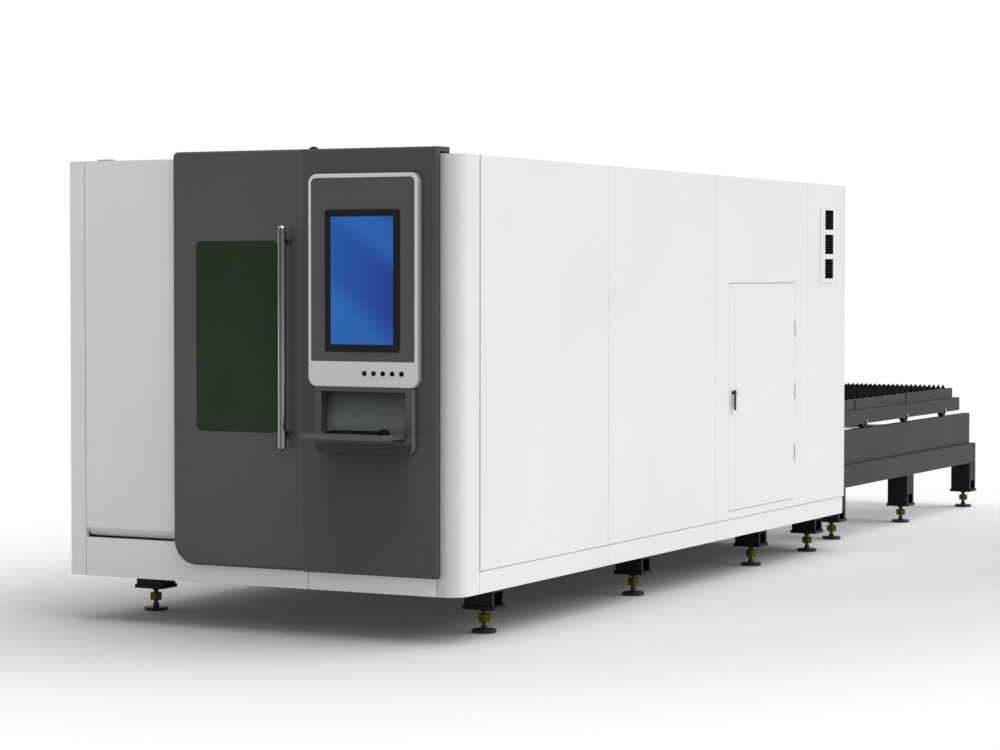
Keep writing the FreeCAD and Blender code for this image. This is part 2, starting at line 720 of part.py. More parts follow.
def vent_grille():
    """A plate with three windows, and a slotted insert in each."""
    window = rectangle("louvre_start", "louvre_end", "louvre_bottom",
                       "louvre_bottom + louvre_height")
    face = "half_width + sheet"
    body = plate("YZ", "vent_start", "vent_end", "vent_bottom", "vent_top", "half_width", face)
    hole = pocket(body, "YZ", [window], "half_width - overcut", face + " + overcut")
    row(body, [hole], "V_Axis", "louvre_group_pitch", "louvre_groups")
    node("vent_grille", body)

    insert = new_body("insert")
    pad(insert, "YZ", [window], "half_width - sheet", face)
    low = "louvre_bottom + louvre_edge"
    slot = pocket(insert, "YZ", [rectangle("louvre_start + louvre_edge", "louvre_end - louvre_edge",
                                           low, low + " + louvre_slot")],
                  "half_width - sheet - overcut", face + " + overcut")
    row(insert, [slot], "V_Axis", "louvre_pitch", "louvre_count")
    pitch = number("louvre_group_pitch")
    spots = [(0, 0, i * pitch) for i in range(int(number("louvre_groups")))]
    node("vent_louvres", copies(insert, spots))


def roof_panels():
    panels = []
    starts = ("panel_depth",) + SEAMS[1:4]
    ends = SEAMS[1:4] + ("back_in",)
    for front, back in zip(starts, ends):
        front = front if front == "panel_depth" else front + " + panel_gap"
        panels.append(tray("XY", "-wall_in", "wall_in", front, back,
                           "roof_bottom", "roof_top", True))
    node("roof_panels", group(*panels))


def back_wall():
    """Four folded panels around the gate that the pallet rolls through."""
    half = "(bed_in + gate_margin)"
    low = "rail_top - cabin_rail_height - gate_margin"
    high = "bed_top - gate_margin"
    panels = [tray("XZ", left, right, bottom, top, "back_in", "cabin_length", True)
              for left, right, bottom, top in
              (("-wall_in", "-" + half, "0", "cabin_height"),
               (half, "wall_in", "0", "cabin_height"),
               ("-" + half, half, "0", low), ("-" + half, half, high, "cabin_height"))]
    node("back_wall", group(*panels))


def lifting_eyes():
    """A flat eye on a neck and a base plate, over the roof's middle line."""
    middle = "roof_top + eye_rise"
    base = box("-eye_base / 2", "eye_base / 2", "-eye_base / 2", "eye_base / 2",
               "roof_top", "roof_top + eye_base_thick")
    neck = box("-eye_neck / 2", "eye_neck / 2", "-eye_thick / 2", "eye_thick / 2",
               "roof_top + eye_base_thick", middle + " - eye_inner - eye_base_thick / 2")
    disc = prism("Y", ("0", "-eye_thick / 2", middle), "eye_outer", "eye_thick", "many_sides")
    hole = prism("Y", ("0", "-eye_thick / 2 - overcut", middle), "eye_inner",
                 "eye_thick + 2 * overcut", "some_sides")
    eye = cut(fused(base, neck, disc), hole)
    node("lifting_eyes", copies(eye, [(0, number("eye_first"), 0), (0, number("eye_second"), 0)]))


# ---------------------------------------------------------------- dark front

def hood(body, left, right):
    """The cover over the wall's top edge, open below."""
    pad(body, "YZ", [rectangle("-sheet - door_gap", "hood_depth", "hood_bottom", "dark_top")],
        left, right)


def sliding_door():
    body = new_body("door")
    leaf = rectangle("-door_left", "door_right", "dark_bottom", "dark_top")
    pad(body, "XZ", [leaf], "-front_proud", "door_back")
    hood(body, "-door_left", "door_right")
    round_edges(body, "Y", [("-door_left", "dark_bottom")], "door_corner")
    round_edges(body, "Y", [("-door_left", "dark_top")], "door_top_corner")
    round_edges(body, "X", [("-front_proud", "dark_top")], "edge_round")
    pocket(body, "XY", [rectangle("-door_left + door_top_corner", "door_right - sheet",
                                  "door_back", "hood_depth - sheet")],
           "hood_bottom", "dark_top - sheet")
    seat = [("-window_left + window_seat", "window_bottom + window_seat"),
            ("window_right - window_seat", "window_bottom + window_seat"),
            ("window_right - window_seat", "window_top - window_seat"),
            ("-window_left + window_seat", "window_top - window_seat")]
    pocket(body, "XZ", [seat], "-front_proud - overcut", "door_back + overcut")
    pocket(body, "XZ", [rectangle("-window_left", "window_right", "window_bottom", "window_top")],
           "-front_proud - overcut", "-front_proud + pane_depth")
    corners = [("-window_left", "window_bottom"), ("-window_left", "window_top"),
               ("window_right", "window_bottom"), ("window_right", "window_top")]
    round_edges(body, "Y", corners, "window_corner")
    node("sliding_door", body)

    pane = plate("XZ", "-window_left + pane_play", "window_right - pane_play",
                 "window_bottom + pane_play", "window_top - pane_play",
                 "-front_proud + pane_sink", "-front_proud + pane_depth")
    corners = [("-window_left + pane_play", "window_bottom + pane_play"),
               ("-window_left + pane_play", "window_top - pane_play"),
               ("window_right - pane_play", "window_bottom + pane_play"),
               ("window_right - pane_play", "window_top - pane_play")]
    round_edges(pane, "Y", corners, "window_corner")
    node("door_window", pane)

    bar_y = "-front_proud - handle_reach"
    bar = prism("Z", ("handle_place", bar_y, "handle_bottom"), "handle_radius",
                "handle_top - handle_bottom", "many_sides")
    mounts = [prism("Y", ("handle_place", bar_y, z), "handle_mount_radius", "handle_reach",
                    "some_sides")
              for z in ("handle_bottom + handle_mount_inset", "handle_top - handle_mount_inset")]
    node("door_handle", fused(bar, *mounts))


def door_running_gear():
    """The rail on the roof's front edge, and the saddles and fingers that follow it."""
    front = "door_rail_setback"
    back = "door_rail_setback + door_rail_width"
    top = "roof_top + door_rail_height"
    rail = box("-wall_in + door_rail_inset", "door_right - panel_gap", front, back, "roof_top", top)
    stop_right = "-carriage_left - carriage_half - door_travel - overcut"
    stop = box(stop_right + " - stop_length", stop_right, front, back,
               top, "hood_bottom - 2 * overcut")
    node("door_rail", group(rail, stop))

    saddle = [(front + " - slide_play - carriage_wall", "hood_gap / 2 + roof_top"),
              (front + " - slide_play", "hood_gap / 2 + roof_top"),
              (front + " - slide_play", top + " + slide_play"),
              (back + " + slide_play", top + " + slide_play"),
              (back + " + slide_play", "hood_gap / 2 + roof_top"),
              (back + " + slide_play + carriage_wall", "hood_gap / 2 + roof_top"),
              (back + " + slide_play + carriage_wall", "dark_top - sheet"),
              (front + " - slide_play - carriage_wall", "dark_top - sheet")]
    pieces = []
    for place in ("-carriage_left", "carriage_right"):
        body = new_body("saddle")
        pad(body, "YZ", [saddle], place + " - carriage_half", place + " + carriage_half")
        pieces.append(body)
        pieces.append(box(place + " - carriage_half", place + " + carriage_half",
                          "door_back", "panel_depth / 2",
                          "front_skirt_height + slide_play",
                          "front_skirt_height + slot_height / 2"))
    node("door_guides", group(*pieces))


def front_fascia():
    body = new_body("fascia")
    pad(body, "XZ", [rectangle("fascia_left", "fascia_right", "dark_bottom", "dark_top")],
        "-front_proud", "0")
    pad(body, "YZ", [rectangle("-sheet", "hood_depth", "hood_bottom", "dark_top")],
        "fascia_left", "fascia_right")
    pad(body, "YZ", [rectangle("hood_depth - sheet", "hood_depth", "roof_top", "dark_top")],
        "fascia_left", "fascia_right")
    round_edges(body, "X", [("-front_proud", "dark_top")], "edge_round")
    pocket(body, "XZ", [rectangle("fascia_left + sheet", "fascia_right - sheet",
                                  "dark_bottom + sheet", "hood_bottom - overcut")],
           "-front_proud + sheet", "overcut")
    pocket(body, "XY", [rectangle("fascia_left + sheet", "fascia_right - sheet",
                                  "-front_proud + sheet + edge_round", "hood_depth - sheet")],
           "hood_bottom - 2 * overcut", "dark_top - sheet")
    tub = rectangle("recess_left - sheet", "recess_left + recess_width + sheet",
                    "recess_low - sheet", "recess_low + recess_height + sheet")
    pocket(body, "XZ", [tub], "-front_proud - overcut", "-front_proud + sheet + overcut")
    node("front_fascia", body)


# ---------------------------------------------------------------- controls

def control_panel():
    right = "control_left + control_width"
    top = "control_bottom + control_height"
    inset_right = right + " - inset_right_side"
    inset_high = top + " - inset_top"
    frame = plate("XZ", "control_left", right, "control_bottom", top,
                  "control_face", "-front_proud")
    corners = [("control_left", "control_bottom"), (right, "control_bottom"),
               ("control_left", top), (right, top)]
    round_edges(frame, "Y", corners, "control_corner")
    pocket(frame, "XZ", [rectangle("inset_left", inset_right, "inset_low", inset_high)],
           "control_face - overcut", "inset_back")
    corners = [("inset_left", inset_high), (inset_right, inset_high)]
    round_edges(frame, "Y", corners, "inset_corner")
    bores = []
    for i in range(5):
        x = "control_left + button_first + %d * button_pitch" % i
        z = "control_bottom + button_rise"
        depth = "button_length - button_proud + button_travel + 2 * overcut"
        bores.append(prism("Y", (x, "control_face - overcut", z), "button_radius + slide_play",
                           depth, "some_sides"))
        button = prism("Y", (x, "control_face - button_proud", z), "button_radius",
                       "button_length", "some_sides")
        node("button_%d" % (i + 1), button)
        bind(button, "Placement.Base.x", "mid + " + x)
        bind(button, "Placement.Base.y", "datum_y + control_face - button_proud")
        bind(button, "Placement.Base.z", "skirt_clearance + " + z)
    node("control_panel_frame", cut(frame, group(*bores)))

    low, high = "inset_low + pane_play", inset_high + " - pane_play"
    left, edge = "inset_left + pane_play", inset_right + " - pane_play"
    inset = plate("XZ", left, edge, low, high, "inset_face", "inset_back")
    round_edges(inset, "Y", [(left, high), (edge, high)], "inset_corner")
    node("control_panel_inset", inset)

    bezel_right = "bezel_left + bezel_width"
    bezel_high = "bezel_low + bezel_height"
    bezel = plate("XZ", "bezel_left", bezel_right, "bezel_low", bezel_high,
                  "bezel_face", "inset_face")
    glass = [("bezel_left + screen_margin", "bezel_low + screen_margin_low"),
             (bezel_right + " - screen_margin", "bezel_low + screen_margin_low"),
             (bezel_right + " - screen_margin", bezel_high + " - screen_margin"),
             ("bezel_left + screen_margin", bezel_high + " - screen_margin")]
    pocket(bezel, "XZ", [glass], "bezel_face - overcut", "bezel_face + screen_sink")
    round_edges(bezel, "Y", [(x, z) for x in ("bezel_left", bezel_right)
                             for z in ("bezel_low", bezel_high)], "bezel_corner")
    node("monitor_bezel", bezel)
    screen = new_body("screen")
    pad(screen, "XZ", [glass], "bezel_face + screen_sink - screen_thick",
        "bezel_face + screen_sink")
    node("screen", screen)


def keyboard_shelf():
    right = "housing_left + housing_width"
    recess_right = "recess_left + recess_width"
    recess_high = "recess_low + recess_height"
    housing = plate("XZ", "housing_left", right, "housing_low", "control_bottom",
                    "housing_face", "-front_proud")
    round_edges(housing, "Y", [("housing_left", "housing_low"), (right, "housing_low")],
                "housing_corner")
    pad(housing, "XZ", [rectangle("recess_left - sheet", recess_right + " + sheet",
                                  "recess_low - sheet", recess_high + " + sheet")],
        "-front_proud", "recess_back + sheet")
    pocket(housing, "XZ", [rectangle("recess_left", recess_right, "recess_low", recess_high)],
           "housing_face - overcut", "recess_back")
    socket_start = "recess_left - pin_length + shelf_side_gap - slide_play"
    socket_length = "recess_width + 2 * (pin_length - shelf_side_gap + slide_play)"
    sockets = cylinder("X", (socket_start, "hinge_y", "hinge_z"),
                       "pin_radius + running_play", socket_length)
    node("keyboard_housing", cut(housing, sockets))

    low = "hinge_z - shelf_thick / 2"
    shelf = plate("XY", "shelf_left", "shelf_right", "shelf_tip",
                  "hinge_y + shelf_thick / 2", low, "shelf_top")
    round_edges(shelf, "Z", [("shelf_right", "shelf_tip")], "shelf_corner")
    pins = cylinder("X", ("shelf_left - pin_length", "hinge_y", "hinge_z"), "pin_radius",
                    "shelf_right - shelf_left + 2 * pin_length")
    node("keyboard_tray", fused(shelf, pins))

    left = "shelf_left + keyboard_left"
    back = "hinge_y - keyboard_back"
    keys = plate("XY", left, left + " + keyboard_width", back + " - keyboard_depth", back,
                 "shelf_top", "shelf_top + keyboard_thick")
    edge = "shelf_right - mouse_right"
    rear = "hinge_y - mouse_back"
    mouse = plate("XY", edge + " - mouse_width", edge, rear + " - mouse_length", rear,
                  "shelf_top", "shelf_top + mouse_height")
    corners = [(edge, rear), (edge + " - mouse_width", rear),
               (edge, rear + " - mouse_length"), (edge + " - mouse_width", rear + " - mouse_length")]
    round_edges(mouse, "Z", corners, "mouse_round")
    node("keyboard_and_mouse", group(keys, mouse))


# ---------------------------------------------------------------- service door

def service_door():
    door = tray("YZ", "service_start + panel_gap", "service_end - panel_gap",
                "service_bottom + panel_gap", "service_top - panel_gap",
                "wall_in", "half_width", True)
    bore = cylinder("X", ("wall_in", "latch_y", "latch_z"), "latch_shaft + running_play",
                    "panel_depth + overcut")
    node("service_door", cut(door, bore))

    barrels = []
    step = "((service_top - service_bottom - 2 * hinge_length) / hinge_count)"
    for i in range(int(number("hinge_count"))):
        low = "service_bottom + hinge_length / 2 + (%g) * %s" % (i + 0.5, step)
        barrel = cylinder("Z", ("service_hinge_x", "service_hinge_y", low), "hinge_radius",
                          "hinge_length")
        leaf = box("half_width", "half_width + sheet", "service_hinge_y + panel_gap / 2",
                   "service_end + hinge_leaf", low, low + " + hinge_length")
        barrels.append(fused(barrel, leaf))
    node("door_hinges", group(*barrels))

    face = "half_width + slide_play"
    boss = prism("X", (face, "latch_y", "latch_z"), "latch_boss", "latch_reach - slide_play",
                 "many_sides")
    arm = box("half_width + latch_reach / 2", "half_width + latch_reach",
              "latch_y - latch_boss", "latch_y + latch_boss", "latch_z - latch_arm", "latch_z")
    shaft = cylinder("X", ("wall_in + tongue_thick", "latch_y", "latch_z"), "latch_shaft",
                     "panel_depth - tongue_thick + latch_reach / 2")
    tongue = box("wall_in + tongue_thick", "wall_in + 2 * tongue_thick",
                 "latch_y - tongue_reach", "latch_y + tongue_width / 2",
                 "latch_z - tongue_width / 2", "latch_z + tongue_width / 2")
    node("latch_handle", fused(boss, arm, shaft, tongue))


# ---------------------------------------------------------------- gantry

def gantry():
    guides = []
    shoes = []
    for side in (1, -1):
        centre = "%d * leg_x" % side
        guides.append(box(centre + " - guide_width / 2", centre + " + guide_width / 2",
                          "guide_start", "guide_end", "bed_top", "guide_top"))
        saddle = [(centre + " - shoe_width / 2", "bed_top + shoe_gap"),
                  (centre + " - guide_width / 2 - slide_play", "bed_top + shoe_gap"),
                  (centre + " - guide_width / 2 - slide_play", "guide_top + slide_play"),
                  (centre + " + guide_width / 2 + slide_play", "guide_top + slide_play"),
                  (centre + " + guide_width / 2 + slide_play", "bed_top + shoe_gap"),
                  (centre + " + shoe_width / 2", "bed_top + shoe_gap"),
                  (centre + " + shoe_width / 2", "gantry_bottom"),
                  (centre + " - shoe_width / 2", "gantry_bottom")]
        for front in ("gantry_park + shoe_inset",
                      "gantry_park + gantry_depth - shoe_inset - shoe_length"):
            shoe = new_body("shoe")
            pad(shoe, "XZ", [saddle], front, front + " + shoe_length")
            shoes.append(shoe)
    node("guide_rails", group(*guides))
    node("gantry_carriages", group(*shoes))

    back = "gantry_park + gantry_depth"
    rail = "gantry_park - beam_rail_depth"
    low = "gantry_bottom + beam_rail_inset"
    high = "gantry_top - beam_rail_inset"
    section = [("gantry_park", "gantry_bottom"), (back, "gantry_bottom"), (back, "gantry_top"),
               ("gantry_park", "gantry_top"), ("gantry_park", high), (rail, high),
               (rail, high + " - beam_rail_height"), ("gantry_park", high + " - beam_rail_height"),
               ("gantry_park", low + " + beam_rail_height"), (rail, low + " + beam_rail_height"),
               (rail, low), ("gantry_park", low)]
    beam = new_body("gantry")
    pad(beam, "YZ", [section], "-gantry_half", "gantry_half")
    node("gantry_beam", beam)

    groove = rail + " - slide_play"
    bottom = "gantry_bottom + head_plate_inset"
    top = "gantry_top - head_plate_inset"
    section = [("plate_front", bottom), ("plate_back", bottom), ("plate_back", low + " - slide_play"),
               (groove, low + " - slide_play"), (groove, low + " + beam_rail_height + slide_play"),
               ("plate_back", low + " + beam_rail_height + slide_play"),
               ("plate_back", high + " - beam_rail_height - slide_play"),
               (groove, high + " - beam_rail_height - slide_play"),
               (groove, high + " + slide_play"), ("plate_back", high + " + slide_play"),
               ("plate_back", top), ("plate_front", top)]
    carriage = new_body("head_plate")
    pad(carriage, "YZ", [section], "-head_plate_half", "head_plate_half")
    node("head_carriage", carriage)

    column = box("-head_half", "head_half", "head_back - head_depth", "head_back",
                 "head_bottom", "head_bottom + head_height")
    collar = prism("Z", ("0", "head_y", "collar_low"), "collar_radius",
                   "head_bottom - collar_low", "many_sides")
    nozzle = prism("Z", ("0", "head_y", "nozzle_tip"), "nozzle_radius",
                   "collar_low - nozzle_tip", "some_sides")
    node("cutting_head", fused(column, collar, nozzle))


# ---------------------------------------------------------------- table

def table_frame():
    bars = []
    for side in (1, -1):
        left, right = sided(side, "beam_in", "beam_out")
        bars.append(box(left, right, "cabin_length", "table_end", "beam_bottom", "beam_top"))
    for y in ("shaft_y", "cabin_length + table_leg_first + table_leg_side",
              "cabin_length + table_leg_second", "(table_leg_second + cabin_length + table_end) / 2",
              "table_end - table_leg_inset"):
        bars.append(box("-beam_in", "beam_in", y + " - cross_width / 2", y + " + cross_width / 2",
                        "beam_top - table_cross_height", "beam_top"))
    for side in (1, -1):
        for y in ("shaft_y", "idler_y"):
            left, right = sided(side, "rail_in - bearing_length", "rail_in")
            block = box(left, right, y + " - bearing_side / 2", y + " + bearing_side / 2",
                        "shaft_z - bearing_side / 2", "shaft_z + bearing_side / 2")
            bore = flat_bore("X", ("%s - overcut" % left, y, "shaft_z"),
                             "shaft_radius + running_play", "bearing_length + 2 * overcut",
                             "some_sides")
            bars.append(cut(block, bore))
    node("table_lower_frame", group(*bars))


def pallet_drive():
    for name, y in (("drive_shaft", "shaft_y"), ("idler_shaft", "idler_y")):
        shaft = prism("X", ("-rail_in + overcut", y, "shaft_z"), "shaft_radius",
                      "2 * (rail_in - overcut)", "some_sides")
        wheels = [prism("X", ("%d * chain_x - chain_width / 2" % side, y, "shaft_z"),
                        "sprocket_radius", "chain_width", "many_sides") for side in (1, -1)]
        node(name, fused(shaft, *wheels))

    inner = "(sprocket_radius + slide_play) / cos(180 / many_sides)"
    chains = []
    for side in (1, -1):
        centre = "%d * chain_x" % side
        loop = chain_loop(centre, inner + " + chain_thick", "chain_width")
        hollow = chain_loop(centre, inner, "chain_width + 2 * overcut")
        chains.append(cut(loop, hollow))
    node("drive_chains", group(*chains))

    back = "shaft_y + gearbox_side / 2"
    right = "gearbox_place + gearbox_width"
    gearbox = box("gearbox_place", right, "shaft_y - gearbox_side / 2", back,
                  "beam_top", "shaft_z + gearbox_side / 2")
    motor = prism("Y", ("gearbox_place + gearbox_width / 2", back, "shaft_z"),
                  "motor_radius", "motor_length", "many_sides")
    bore = flat_bore("X", ("gearbox_place - overcut", "shaft_y", "shaft_z"),
                     "shaft_radius + running_play", "gearbox_width + 2 * overcut", "some_sides")
    node("drive_motor", cut(fused(gearbox, motor), bore))


def chain_loop(centre, radius, width):
    """A long oval between the two shafts, as thick as the chain is wide."""
    start = "%s - (%s) / 2" % (centre, width)
    run = box(start, "%s + (%s) / 2" % (centre, width), "shaft_y", "idler_y",
              "shaft_z - (%s)" % radius, "shaft_z + (%s)" % radius)
    ends = [prism("X", (start, y, "shaft_z"), radius, width, "many_sides")
            for y in ("shaft_y", "idler_y")]
    return fused(run, *ends)


# ---------------------------------------------------------------- pallet

def wheel_places():
    return ["pallet_start + wheel_first + %d * wheel_pitch" % i
            for i in range(int(number("wheel_rows")))]


def pallet_frame():
    pieces = []
    for side in (1, -1):
        sign = "" if side > 0 else "-"
        section = [(sign + "pallet_out", "pallet_bottom"), (sign + "pallet_out", "pallet_top"),
                   ("%s(pallet_out - pallet_flange)" % sign, "pallet_top"),
                   ("%s(pallet_out - pallet_flange)" % sign, "pallet_top - pallet_web"),
                   (sign + "web_in", "pallet_top - pallet_web"), (sign + "web_in", "pallet_bottom")]
        beam = new_body("side_beam")
        pad(beam, "XZ", [section], "pallet_start", "pallet_end")
        left, right = sided(side, "web_in - overcut", "pallet_out + overcut")
        bores = [flat_bore("X", (left, y, "axle_z"), "axle_radius + running_play",
                           "pallet_web + 2 * overcut", "some_sides") for y in wheel_places()]
        pieces.append(cut(beam, group(*bores)))
    tubes = ["pallet_start + pallet_tube / 2"]
    for y in wheel_places()[:-1]:
        tubes.append(y + " + wheel_pitch / 2")
    tubes.append("pallet_end - pallet_tube / 2")
    for y in tubes:
        pieces.append(box("-web_in", "web_in", y + " - pallet_tube / 2", y + " + pallet_tube / 2",
                          "pallet_top - pallet_web - pallet_tube", "pallet_top - pallet_web"))
    node("pallet_frame", group(*pieces))


def wheels():
    """Each wheel is one turned piece with its stub axle, which runs in the beam's web."""
    for i, y in enumerate(wheel_places(), 1):
        pair = []
        for side in (1, -1):
            left, right = sided(side, "wheel_in", "wheel_in + wheel_width")
            tyre = prism("X", (left, y, "axle_z"), "wheel_radius", "wheel_width", "many_sides")
            left, right = sided(side, "wheel_in", "pallet_out + axle_end")
            axle = prism("X", (left, y, "axle_z"), "axle_radius",
                         "pallet_out + axle_end - wheel_in", "some_sides")
            pair.append(fused(tyre, axle))
        node("pallet_wheels_%d" % i, group(*pair))


def slat_holders():
    """Comb rails: the slats drop into slots that are open to the inside and above."""
    start = "pallet_start + holder_start"
    end = start + " + holder_length * holder_rows"
    body = new_body("combs")
    body.AllowCompound = True
    pad(body, "XY", [rectangle("holder_in", "holder_out", start, end),
                     rectangle("-holder_out", "-holder_in", start, end)],
        "pallet_top", "holder_top")
    slot_front = "pallet_start + slat_first - slat_thick / 2 - slat_play"
    slot_back = "pallet_start + slat_first + slat_thick / 2 + slat_play"
    slots = pocket(body, "XY", [rectangle("holder_in - overcut", "holder_out - holder_wall",
                                          slot_front, slot_back),
                                rectangle("-holder_out + holder_wall", "-holder_in + overcut",
                                          slot_front, slot_back)],
                   "slat_low", "holder_top + overcut")
    row(body, [slots], "V_Axis", "slat_pitch", "slat_count")
    for i in range(1, int(number("holder_rows"))):
        seam = start + " + %d * holder_length" % i
        pocket(body, "XY", [rectangle("-holder_out - overcut", "holder_out + overcut",
                                      seam + " - holder_seam", seam)],
               "pallet_top - overcut", "holder_top + overcut")
    node("slat_holders", body)


def slats():
    """Saw-toothed strips on edge, the bed of points that carries the sheet."""
    front = "pallet_start + slat_first - slat_thick / 2"
    back = "pallet_start + slat_first + slat_thick / 2"
    body = new_body("slat")
    pad(body, "XZ", [rectangle("-slat_half", "slat_half", "slat_low", "holder_top")], front, back)
    first = "-teeth * tooth_pitch / 2"
    tooth = [(first, "holder_top - overcut"), (first + " + tooth_pitch", "holder_top - overcut"),
             (first + " + tooth_pitch", "holder_top"),
             (first + " + tooth_pitch / 2", "holder_top + tooth_height"), (first, "holder_top")]
    teeth = pad(body, "XZ", [tooth], front, back)
    row(body, [teeth], "H_Axis", "tooth_pitch", "teeth")
    pitch = number("slat_pitch")
    node("slats", copies(body, [(0, i * pitch, 0) for i in range(int(number("slat_count")))]))


# ---------------------------------------------------------------- build

bed_frame()
slag_pans()
pallet_rail_beams()
legs_and_feet()
cabin_frame()
service_bay()
front_covers()
front_bay_panel()
front_skirts()
side_panels()
vent_grille()
roof_panels()
back_wall()
lifting_eyes()
sliding_door()
door_running_gear()
front_fascia()
control_panel()
keyboard_shelf()
service_door()
gantry()
table_frame()
pallet_drive()
pallet_frame()
wheels()
slat_holders()
slats()

doc.recompute()

for thing in doc.Objects:
    if "Invalid" in thing.State or "Error" in thing.State:
        raise RuntimeError("failed: %s (%s)" % (thing.Label, thing.State))
for base, feature in POCKETS:
    if feature.Shape.Volume > base.Shape.Volume - 1:
        raise RuntimeError("this pocket cuts nothing: " + feature.Label)
for piece in NODES:
    if piece.Shape.isNull() or not piece.Shape.isValid() or not piece.Shape.Solids:
        raise RuntimeError("bad shape: " + piece.Label)

os.makedirs("parts", exist_ok=True)
for piece in NODES:
    piece.Shape.exportStep("parts/%s.step" % piece.Label)
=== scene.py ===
"""Looks of the sheet laser cutter: finishes, turned and cut details, floor, light and camera.

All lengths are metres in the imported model's frame: X to the right seen from the
front, Y to the rear, Z up, and the origin on the floor under the machine's middle.
"""
import json
from math import cos, pi, radians, sin

import bmesh
import bpy
from mathutils import Matrix, Vector


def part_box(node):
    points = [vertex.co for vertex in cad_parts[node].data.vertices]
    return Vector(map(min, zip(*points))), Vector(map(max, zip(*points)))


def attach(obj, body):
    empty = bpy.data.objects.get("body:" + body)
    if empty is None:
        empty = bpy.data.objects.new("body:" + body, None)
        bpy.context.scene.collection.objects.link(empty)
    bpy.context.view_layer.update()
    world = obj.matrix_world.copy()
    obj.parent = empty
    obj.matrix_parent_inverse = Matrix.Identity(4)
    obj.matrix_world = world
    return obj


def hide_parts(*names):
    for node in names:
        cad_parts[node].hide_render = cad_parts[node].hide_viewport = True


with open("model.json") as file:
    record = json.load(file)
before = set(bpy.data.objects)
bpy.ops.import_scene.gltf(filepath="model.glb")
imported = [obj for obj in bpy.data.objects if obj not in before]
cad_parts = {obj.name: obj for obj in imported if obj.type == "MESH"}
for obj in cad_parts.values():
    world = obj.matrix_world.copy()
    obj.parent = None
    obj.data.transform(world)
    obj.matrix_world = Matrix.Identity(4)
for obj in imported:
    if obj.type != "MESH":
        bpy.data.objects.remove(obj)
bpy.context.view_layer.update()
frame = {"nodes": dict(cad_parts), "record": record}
NODES = frame["nodes"]
SCENE = bpy.context.scene


# -------- materials

class Nodes:
    """A node tree under construction, with short calls for the usual parts."""

    def __init__(self, tree):
        self.tree = tree

    def node(self, kind, inputs=None, **settings):
        """A new node; inputs are the values of its sockets by name."""
        made = self.tree.nodes.new(kind)
        for key, value in settings.items():
            setattr(made, key, value)
        for socket, value in (inputs or {}).items():
            made.inputs[socket].default_value = value
        return made

    def link(self, source, target):
        self.tree.links.new(source, target)

    def axes(self, vector):
        """The X, Y and Z outputs of a vector."""
        parts = self.node("ShaderNodeSeparateXYZ")
        self.link(vector, parts.inputs[0])
        return parts.outputs

    def facing(self):
        """The X, Y and Z outputs of the face's normal."""
        return self.axes(self.node("ShaderNodeNewGeometry").outputs["Normal"])

    def share(self, value, low, high, **settings):
        """How far a value has come on the way from low to high, from 0 to 1."""
        made = self.node("ShaderNodeMapRange", {"From Min": low, "From Max": high}, **settings)
        self.link(value, made.inputs["Value"])
        return made.outputs[0]

    def calculate(self, operation, *values):
        """The result of an operation on one or two values, each a number or an output."""
        made = self.node("ShaderNodeMath", operation=operation)
        for socket, value in zip(made.inputs, values):
            if isinstance(value, float):
                socket.default_value = value
            else:
                self.link(value, socket)
        return made.outputs[0]

    def blend(self, factor, first, second, output):
        """Sends a mix of two shaders to the tree's output node."""
        mix = self.node("ShaderNodeMixShader")
        for socket, value in zip(mix.inputs, (factor, first, second)):
            self.link(value, socket)
        self.link(mix.outputs[0], self.tree.nodes[output].inputs["Surface"])


